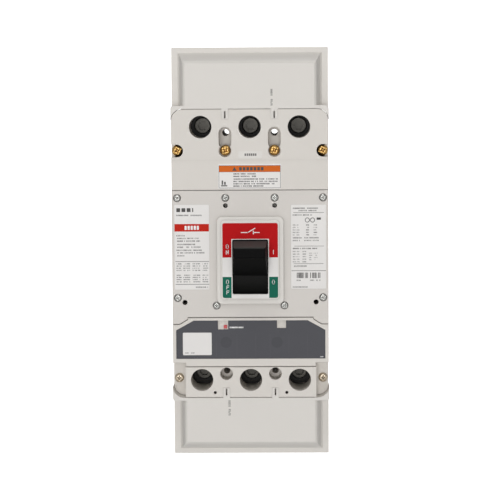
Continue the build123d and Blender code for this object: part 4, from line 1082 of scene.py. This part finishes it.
@dataclass
class RightPlate(Label):
    """Right plate: ruled tables, two plain marks and a bar pattern. Sizes in millimetres."""

    name: str = "right_plate"
    carrier: str = "right_label"
    rules: tuple[Area, ...] = (((38.4, 65.4), (36.6, 37.0)), ((39.2, 65.4), (6.8, 7.2)),
                               ((38.6, 65.0), (-8.9, -8.5)), ((36.6, 67.2), (-15.2, -14.7)))
    ring_centres: tuple[Span, ...] = ((50.8, 30.2), (55.4, 30.2))
    ring_radius: float = 1.9
    ring_pen: float = 0.5
    block: Area = ((59.0, 62.8), (30.4, 32.4))
    block_corner: float = 0.4
    lines: tuple[FinePrint, ...] = (
        FinePrint((37.9, 60.4), 40.7), FinePrint((43.0, 58.8), 38.6), FinePrint((37.8, 55.0), 34.7),
        FinePrint((37.8, 59.4), 4.9), FinePrint((37.8, 50.0), -10.8), FinePrint((41.0, 44.6), -23.5),
        FinePrint((53.0, 56.8), -23.5), FinePrint((58.4, 62.2), -23.5), FinePrint((37.6, 51.0), -29.5),
        FinePrint((37.8, 46.0), 14.4, 2, 2.4), FinePrint((48.0, 60.8), 14.4, 2, 2.4))
    upper_columns: tuple[Span, ...] = ((37.8, 40.2), (41.2, 43.6), (49.6, 52.2), (56.4, 59.4))
    upper_table: FinePrint = FinePrint((0.0, 0.0), 25.8, 5, 2.2, (0.65, 1.0), 0.9)
    lower_columns: tuple[Span, ...] = ((37.8, 40.2), (41.2, 43.6), (46.4, 49.6))
    lower_table: FinePrint = FinePrint((0.0, 0.0), 2.2, 5, 2.3, (0.65, 1.0), 0.95)
    faint_lines: tuple[FinePrint, ...] = (FinePrint((52.2, 55.0), 0.6, 4, 1.9, (0.65, 1.0)),
                                          FinePrint((56.4, 60.0), 0.6, 4, 1.9, (0.65, 1.0), 0.6))
    bars: FinePrint = FinePrint((41.2, 62.4), -19.1, 1, 1.0, (0.75, 4.9), 0.74, 0.35)

    def build(self, palette: Palette, tree: TreeKit) -> None:
        """Prints the plate.

        Args:
            palette: The finishes.
            tree: The fine print tree.
        """
        self.mark("rules", "grey_ink", palette, self.rules)
        marks = Print(front_of(self.carrier))
        for centre in self.ring_centres:
            marks.ring(centre, self.ring_radius, self.ring_pen)
        marks.bar(*self.block, self.block_corner)
        self.place("marks", "dark_ink", palette, marks)
        tables = self.upper_table.columns(self.upper_columns) + self.lower_table.columns(self.lower_columns)
        self.print_blocks([*self.lines, *tables], palette, tree)
        self.print_blocks(self.faint_lines, palette, tree, "pale_ink", "faint_text")
        self.print_blocks([self.bars], palette, tree, "dark_ink", "bars")


@dataclass
class InformationPlate(Label):
    """Information plate above the lid: a coloured header and lines of print. Sizes in millimetres."""

    name: str = "information_plate"
    carrier: str = "information_label"
    header: Area = ((-27.2, 26.9), (73.2, 78.6))
    header_marks: BarRow = BarRow(-9.4, 3.2, 7, 2.4, (74.4, 77.4), 0.3)
    header_sign: tuple[Span, ...] = ((-15.6, 74.2), (-11.6, 74.2), (-13.6, 77.7))
    frame_lines: tuple[Area, ...] = (
        ((-27.4, 27.1), (78.6, 78.9)), ((-27.4, 27.1), (58.8, 59.1)), ((-27.5, -27.2), (58.8, 78.9)),
        ((26.9, 27.2), (58.8, 78.9)), ((-27.2, 26.9), (73.0, 73.2)))
    picture: tuple[Area, ...] = (((-25.6, -20.0), (60.4, 61.4)), ((-25.0, -23.8), (61.8, 65.6)),
                                 ((-22.8, -21.4), (61.8, 64.4)))
    lines: tuple[FinePrint, ...] = (
        FinePrint((-14.6, 5.4), 71.4, 2, 2.2), FinePrint((-14.6, 24.6), 66.8, 2, 2.1),
        FinePrint((-14.6, 22.0), 62.6, 1, 2.1), FinePrint((-14.6, 12.0), 60.6, 1, 2.1))

    def build(self, palette: Palette, tree: TreeKit) -> None:
        """Prints the plate.

        Args:
            palette: The finishes.
            tree: The fine print tree.
        """
        self.mark("header", "orange", palette, [self.header])
        self.mark("frame", "dark_ink", palette, self.frame_lines)
        header = Print(front_of(self.carrier) - INK)
        header.row(self.header_marks)
        header.shape(list(self.header_sign))
        self.place("header_marks", "dark_ink", palette, header)
        self.mark("picture", "dark_ink", palette, self.picture)
        self.print_blocks(self.lines, palette, tree, "dark_ink")


@dataclass
class ShieldPrint(Label):
    """Two upright words of marks on a terminal shield. Sizes in millimetres."""

    slot: str = "moulded_shield"
    ink: str = "dark_ink"
    column: Span = (18.7, 20.4)
    tops: Span = (145.8, 137.0)
    rows: int = 6
    pitch: float = 1.0
    glyph: Span = (0.8, 0.7)
    kept: float = 0.9

    def build(self, palette: Palette, tree: TreeKit) -> None:
        """Prints both words."""
        blocks = [FinePrint(self.column, top, self.rows, self.pitch, self.glyph, self.kept) for top in self.tops]
        self.print_blocks(blocks, palette, tree)


@dataclass
class HandlePlate(Label):
    """Coloured label round the handle, with its position marks. Sizes in millimetres."""

    name: str = "handle_plate"
    carrier: str = "handle_label"
    slot: str = "handle_label"
    outer: float = 24.6
    inner: float = 16.7
    corner: float = 2.0
    red_up: tuple[float, float, float] = (-2.6, 13.9, 28.0)
    green_up: Span = (-38.7, -19.9)
    sign: tuple[Way, ...] = (((-7.8, 19.6), (-2.0, 19.6)), ((-2.0, 19.6), (4.2, 23.3)), ((3.4, 19.6), (8.2, 19.6)),
                             ((2.9, 18.4), (2.9, 20.9)))
    sign_pen: float = 0.75
    letters: tuple[tuple[str, float, float], ...] = (
        ("O", -20.3, 7.2), ("N", -20.3, 2.2), ("I", 20.6, 2.2), ("O", -20.3, -24.4), ("F", -20.1, -29.2),
        ("F", -20.1, -33.7), ("O", 20.5, -24.6))
    half_wide: float = 0.95
    half_tall: float = 1.7
    half_short: float = 1.4
    letter_pen: float = 0.55
    letter_corner: Span = (0.4, 0.5)
    middle_bar: Span = (-0.35, 0.1)

    def build(self, palette: Palette) -> None:
        """Prints the coloured fields, the switch sign and the position marks.

        Args:
            palette: The finishes.
        """
        front = front_of(self.carrier)
        out, inn = self.outer, self.inner
        foot, step, top = self.red_up
        red = Print(front)
        red.shape(round_corners([(-out, foot), (-inn, foot), (-inn, step), (inn, step), (inn, foot), (out, foot),
                                 (out, top), (-out, top)], {6: self.corner, 7: self.corner}))
        self.place("red", "red", palette, red)
        low, high = self.green_up
        green = Print(front)
        green.shape(round_corners([(-out, low), (-inn, low), (-inn, high), (-out, high)], {0: self.corner}))
        green.shape(round_corners([(inn, low), (out, low), (out, high), (inn, high)], {1: self.corner}))
        self.place("green", "green", palette, green)
        sign = Print(front - INK)
        for start, end in self.sign:
            sign.stroke(start, end, self.sign_pen)
        self.place("sign", "white_ink", palette, sign)
        letters = Print(front - INK)
        for letter, x, z in self.letters:
            self._letter(letters, letter, x, z)
        self.place("letters", "white_ink", palette, letters)

    def _letter(self, page: Print, letter: str, x: float, z: float) -> None:
        """Draws one upright position letter with plain strokes.

        Args:
            page: The print it joins.
            letter: O, N, I or F.
            x: Middle across.
            z: Middle up.
        """
        tall = self.half_short if letter == "F" else self.half_tall
        west, east, low, high = x - self.half_wide, x + self.half_wide, z - tall, z + tall
        across, up = self.letter_corner
        shorter, raised = self.middle_bar
        strokes = {
            "O": [((west, low + up), (west, high - up)), ((east, low + up), (east, high - up)),
                  ((west + across, low), (east - across, low)), ((west + across, high), (east - across, high)),
                  ((west, low + up), (west + across, low)), ((east, low + up), (east - across, low)),
                  ((west, high - up), (west + across, high)), ((east, high - up), (east - across, high))],
            "N": [((west, low), (west, high)), ((east, low), (east, high)), ((west, high), (east, low))],
            "I": [((x, low), (x, high))],
            "F": [((west, low), (west, high)), ((west, high), (east, high)),
                  ((west, z + raised), (east + shorter, z + raised))],
        }
        for start, end in strokes[letter]:
            page.stroke(start, end, self.letter_pen)


@dataclass
class TripFace(Label):
    """Print on the trip unit's dark face: legends, faint discs and bands of tone. Sizes in millimetres."""

    name: str = "trip_face"
    carrier: str = "trip_face_plate"
    slot: str = "dark_face"
    ink: str = "white_ink"
    disc_centres: tuple[Span, ...] = ((-22.0, -79.0), (23.5, -79.0))
    disc_radius: float = 5.0
    disc_sides: int = 32
    band_starts: tuple[float, ...] = (-31.0, -12.6, 4.2, 17.0, 33.8, 50.4)
    band_wide: float = 0.5
    band_up: Span = (-96.4, -71.4)
    legends: tuple[FinePrint, ...] = (FinePrint((-18.8, -4.4), -65.6, 1, 1.0, (0.9, 1.35)),
                                      FinePrint((62.0, 64.8), -92.2, 1, 1.0, (0.5, 0.8)))
    blank_legends: tuple[FinePrint, ...] = (FinePrint((-58.8, -55.6), -88.4, 1, 1.0, (0.6, 0.7)),
                                            FinePrint((-53.4, -50.4), -88.4, 1, 1.0, (0.6, 0.9)))

    def build(self, palette: Palette, tree: TreeKit) -> None:
        """Prints the face and the blank label on it.

        Args:
            palette: The finishes.
            tree: The fine print tree.
        """
        faint = Print(front_of(self.carrier))
        turns = [math.tau * step / self.disc_sides for step in range(self.disc_sides)]
        for x, z in self.disc_centres:
            faint.shape([(x + self.disc_radius * math.cos(turn), z + self.disc_radius * math.sin(turn))
                         for turn in turns])
        self.place("discs", "dark_tone", palette, faint)
        self.mark("bands", "light_tone", palette, [((x, x + self.band_wide), self.band_up) for x in self.band_starts])
        self.print_blocks(self.legends, palette, tree)
        Label("trip_blank", "trip_blank_label").print_blocks(self.blank_legends, palette, tree)


# ---------------------------------------------------------------- small pieces of the trip unit
@dataclass(frozen=True)
class WindowHooks:
    """Small snap hooks at the top of the trip unit's two windows. Sizes in millimetres."""

    centres: tuple[float, ...] = (-27.2, -22.8, 25.4, 29.6)
    up: float = -61.4
    wide: float = 1.5
    deep: float = 0.7
    tall: float = 2.6
    slope: float = 0.35
    floor: float = 98.2
    sunk: float = 0.02
    edge: float = 0.12

    def build(self, palette: Palette) -> None:
        """Moulds the hooks as one piece.

        Args:
            palette: The finishes.
        """
        builder = bmesh.new()
        for x in self.centres:
            made = bmesh.ops.create_cube(builder, size=1.0)["verts"]
            for vertex in made:
                slope = self.slope if vertex.co.y < 0 and vertex.co.z < 0 else 1.0
                y = -self.floor - self.deep / 2 * slope + vertex.co.y * self.deep * slope + self.sunk
                across, up = x + vertex.co.x * self.wide, self.up + vertex.co.z * self.tall
                vertex.co = Vector((across * MM, y * MM, up * MM))
            edges = list({edge for vertex in made for edge in vertex.link_edges})
            bmesh.ops.bevel(builder, geom=edges, offset=self.edge * MM, segments=2, affect="EDGES")
        bmesh.ops.recalc_face_normals(builder, faces=builder.faces)
        mesh = bpy.data.meshes.new("trip_window_hooks")
        builder.to_mesh(mesh)
        builder.free()
        mesh.materials.append(palette.get("cover"))
        add_piece("trip_window_hooks", mesh, "case")


@dataclass(frozen=True)
class WoundSpring:
    """A coil spring along Y, wound from round wire, that stands for a CAD node. Sizes in millimetres."""

    node: str
    body: str = "case"
    wire: float = 0.25
    turns: float = 7.0

    def build(self, palette: Palette, tree: TreeKit) -> None:
        """Winds the spring in the CAD node's space.

        Args:
            palette: The finishes.
            tree: The spring tree.
        """
        low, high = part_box(self.node)
        middle = (low + high) / 2
        start = Vector((middle.x, high.y, middle.z))
        way = Vector((middle.x, low.y, middle.z)) - start
        wire = self.wire * MM
        wound = tree.run("wound_wire", {"Radius": (high.x - low.x) / 2 - wire, "Wire": wire,
                                        "Length": way.length - 2 * wire, "Turns": self.turns,
                                        "Material": palette.get("steel")})
        turn = way.to_track_quat("Z", "Y").to_matrix().to_4x4()
        wound.transform(Matrix.Translation(start + way.normalized() * wire) @ turn)
        builder = bmesh.new()
        builder.from_mesh(wound)
        bmesh.ops.recalc_face_normals(builder, faces=builder.faces)
        mesh = bpy.data.meshes.new(self.node + "_wire")
        builder.to_mesh(mesh)
        builder.free()
        mesh.materials.append(palette.get("steel"))
        for face in mesh.polygons:
            face.use_smooth = True
        piece = add_piece(self.node + "_wire", mesh, self.body)
        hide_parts(self.node)


# ---------------------------------------------------------------- sub-assemblies
class Workshop:
    """The finishes and the geometry trees that every sub-assembly uses."""

    def __init__(self) -> None:
        """Makes the palette and the trees."""
        self.palette = Palette()
        self.print_tree = text_rows_tree()
        self.screw_tree = screw_heads_tree()
        self.coil_tree = coil_tree()


class SubAssembly:
    """A part of the breaker that dresses its CAD nodes and builds its finer pieces."""

    NODES: ClassVar[dict[str, tuple[str, ...]]] = {}

    def dress(self, palette: Palette) -> None:
        """Gives the CAD nodes their finishes."""
        for finish, nodes in self.NODES.items():
            palette.dress(finish, *nodes)

    def build(self, shop: Workshop) -> None:
        """Builds the finer pieces, where there are any."""


@dataclass
class CaseShell(SubAssembly):
    """Base, covers, lid and escutcheon, with the screws that hold them."""

    NODES: ClassVar[dict[str, tuple[str, ...]]] = {
        "base": ("base",), "cover": ("line_cover", "load_cover"), "lid": ("accessory_lid",),
        "escutcheon": ("escutcheon",), "gold": ("line_cover_screws",), "zinc": ("load_cover_screws",),
        "silver_zinc": ("lid_screws",)}

    line_screws: ScrewSet = ScrewSet("line_cover_screws", "gold", "yellow_zinc", 4.85, 2.7, 2.2,
                                     Drive.CROSS_AND_SLOT, 3)
    load_screws: ScrewSet = ScrewSet("load_cover_screws", "zinc", "bright_zinc", 4.2, 2.6, 2.2, Drive.CROSS, 5)
    lid_screws: ScrewSet = ScrewSet("lid_screws", "silver_zinc", "bright_zinc", 3.3, 1.9, 1.5, Drive.CROSS, 8)

    def build(self, shop: Workshop) -> None:
        """Makes the three sets of screws."""
        for screws in (self.line_screws, self.load_screws, self.lid_screws):
            screws.build(shop.palette, shop.screw_tree)


@dataclass
class Terminals(SubAssembly):
    """Shields, lugs, set screws and conductors at both ends."""

    NODES: ClassVar[dict[str, tuple[str, ...]]] = {
        "shield": ("line_shield", "load_shield"), "dark_steel": ("line_set_screws", "load_set_screws"),
        "lug": per_pole("line_lug", "load_lug"), "copper": per_pole("line_conductor", "load_conductor")}

    line_column: Span = (18.7, 20.4)
    line_tops: Span = (145.8, 137.0)
    load_column: Span = (-20.2, -18.4)
    load_tops: Span = (-131.6, -139.5)

    def build(self, shop: Workshop) -> None:
        """Prints the marks on the shields.

        Args:
            shop: The finishes and trees.
        """
        for shield, column, tops in (("line_shield", self.line_column, self.line_tops),
                                     ("load_shield", self.load_column, self.load_tops)):
            marks = ShieldPrint(shield + "_print", shield, column=column, tops=tops)
            marks.build(shop.palette, shop.print_tree)


class Contacts(SubAssembly):
    """Contact arms on their crossbar, fixed contacts and arc chutes."""

    NODES: ClassVar[dict[str, tuple[str, ...]]] = {
        "silver": ("moving_contacts", "fixed_contacts"), "copper": ("flexible_leads", *per_pole("contact_arm")),
        "steel": ("contact_springs", "arc_plates"), "fibre": ("arc_walls",), "phenolic": ("crossbar",)}


class Mechanism(SubAssembly):
    """Handle, slide and the toggle mechanism behind them."""

    NODES: ClassVar[dict[str, tuple[str, ...]]] = {
        "black": ("handle",), "slide": ("handle_slide",),
        "steel": ("handle_yoke", "mechanism_frame", "cradle", "upper_links", "lower_links", "toggle_pin",
                  "latch_lever", "mechanism_springs")}


@dataclass
class TripUnit(SubAssembly):
    """Trip unit: its housing, dark face, button and tripping parts."""

    NODES: ClassVar[dict[str, tuple[str, ...]]] = {
        "cover": ("trip_housing",), "dark_face": ("trip_face_plate",), "film": ("trip_blank_label",),
        "button": ("trip_button",), "phenolic": ("trip_bar",),
        "steel": ("trip_button_spring", "bimetals", "magnet_yokes", *per_pole("armature"))}

    hooks: WindowHooks = WindowHooks()
    spring: WoundSpring = WoundSpring("trip_button_spring")

    def build(self, shop: Workshop) -> None:
        """Makes the button's spring, the face's print and the window hooks.

        Args:
            shop: The finishes and trees.
        """
        self.spring.build(shop.palette, shop.coil_tree)
        TripFace().build(shop.palette, shop.print_tree)
        self.hooks.build(shop.palette)


@dataclass
class Plates(SubAssembly):
    """Every printed label of the case."""

    NODES: ClassVar[dict[str, tuple[str, ...]]] = {
        "film": ("handle_label", "left_label", "right_label", "information_label"), "clear_film": ("small_label",)}

    small_line: FinePrint = FinePrint((-4.6, 6.0), 88.4, 1, 1.0, (1.5, 2.2), 0.98, 0.8)

    def build(self, shop: Workshop) -> None:
        """Prints all the labels.

        Args:
            shop: The finishes and trees.
        """
        for plate in (LeftPlate(), RightPlate(), InformationPlate()):
            plate.build(shop.palette, shop.print_tree)
        Label("small_plate", "small_label").print_blocks([self.small_line], shop.palette, shop.print_tree)
        HandlePlate().build(shop.palette)


# ---------------------------------------------------------------- studio
@dataclass(frozen=True)
class Lamp:
    """A square soft light aimed at the origin: place and side in metres, power in watts."""

    name: str
    place: Place
    side: float
    power: float

    def build(self) -> None:
        """Hangs the light."""
        data = bpy.data.lights.new(self.name, "AREA")
        data.size = self.side
        data.energy = self.power
        lamp = bpy.data.objects.new(self.name, data)
        lamp.location = self.place
        lamp.rotation_euler = (-Vector(self.place)).to_track_quat("-Z", "Y").to_euler()
        bpy.context.scene.collection.objects.link(lamp)


@dataclass
class Studio:
    """Camera, soft lights and a plain pale floor with a backdrop. Metres and degrees."""

    camera_place: Place = (0.02683, -1.81184, 0.15578)
    camera_turn: Place = (84.9239, 0.3277, 0.8759)
    lens: float = 139.28
    sensor: float = 36.0
    sight: float = 50.0
    floor_drop: float = 0.35
    room: float = 9.0
    bend_start: float = 1.4
    bend: float = 1.2
    paper: float = 0.8
    paper_roughness: float = 0.9
    air_light: float = 0.36
    lamps: tuple[Lamp, ...] = (Lamp("front", (-0.15, -3.9, -0.1), 1.4, 63.0),
                               Lamp("overhead", (-0.15, -0.9, 1.9), 1.0, 9.5),
                               Lamp("rear", (0.5, 2.1, 1.3), 1.0, 18.0))

    def build(self) -> None:
        """Builds the studio."""
        self._camera()
        self._floor()
        for lamp in self.lamps:
            lamp.build()
        self._air()
        bpy.context.scene.view_settings.view_transform = "Standard"

    def _camera(self) -> None:
        """Sets the camera at the measured place."""
        data = bpy.data.cameras.new("view")
        data.lens = self.lens
        data.sensor_width = self.sensor
        data.clip_end = self.sight
        camera = bpy.data.objects.new("view", data)
        camera.location = self.camera_place
        camera.rotation_euler = [math.radians(angle) for angle in self.camera_turn]
        bpy.context.scene.collection.objects.link(camera)
        bpy.context.scene.camera = camera

    def _floor(self) -> None:
        """Lays a floor that curves up into a backdrop."""
        low = CAD_BOX[0].z - self.floor_drop
        half = self.room / 2
        angles = [math.radians(step) for step in range(10, 91, 10)]
        rows = [(-half, low), (self.bend_start, low)]
        rows += [(self.bend_start + self.bend * math.sin(angle), low + self.bend * (1 - math.cos(angle)))
                 for angle in angles]
        rows.append((self.bend_start + self.bend, low + half))
        points = [(x, y, z) for y, z in rows for x in (-half, half)]
        faces = [(2 * i, 2 * i + 1, 2 * i + 3, 2 * i + 2) for i in range(len(rows) - 1)]
        mesh = bpy.data.meshes.new("studio_floor")
        mesh.from_pydata(points, [], faces)
        for face in mesh.polygons:
            face.use_smooth = True
        mesh.materials.append(self._paper())
        floor = bpy.data.objects.new("studio_floor", mesh)
        bpy.context.scene.collection.objects.link(floor)

    def _paper(self) -> bpy.types.Material:
        """White paper, shown brighter than it lights the part.

        Returns:
            The floor's material.
        """
        material = bpy.data.materials.new("studio_paper")
        material.use_nodes = True
        shader = material.node_tree.nodes["Principled BSDF"]
        shader.inputs["Base Color"].default_value = (self.paper, self.paper, self.paper, 1.0)
        shader.inputs["Roughness"].default_value = self.paper_roughness
        shader.inputs["Emission Color"].default_value = (1.0, 1.0, 1.0, 1.0)
        seen = material.node_tree.nodes.new("ShaderNodeLightPath")
        material.node_tree.links.new(seen.outputs["Is Camera Ray"], shader.inputs["Emission Strength"])
        return material

    def _air(self) -> None:
        """Fills the room with soft light, and shows it white."""
        world = bpy.data.worlds.new("studio_air")
        world.use_nodes = True
        tree = world.node_tree
        tree.nodes["Background"].inputs["Color"].default_value = (1.0, 1.0, 1.0, 1.0)
        seen = tree.nodes.new("ShaderNodeLightPath")
        level = tree.nodes.new("ShaderNodeMapRange")
        level.inputs["To Min"].default_value = self.air_light
        level.inputs["To Max"].default_value = 1.0
        tree.links.new(seen.outputs["Is Camera Ray"], level.inputs["Value"])
        tree.links.new(level.outputs["Result"], tree.nodes["Background"].inputs["Strength"])
        bpy.context.scene.world = world


def main() -> None:
    """Builds every piece in order."""
    logging.basicConfig(level=logging.INFO)
    Studio().build()
    shop = Workshop()
    for part in (CaseShell(), Terminals(), Contacts(), Mechanism(), TripUnit(), Plates()):
        part.dress(shop.palette)
        part.build(shop)
        LOG.info("sub-assembly %s is complete", type(part).__name__)


if __name__ == "__main__":
    main()
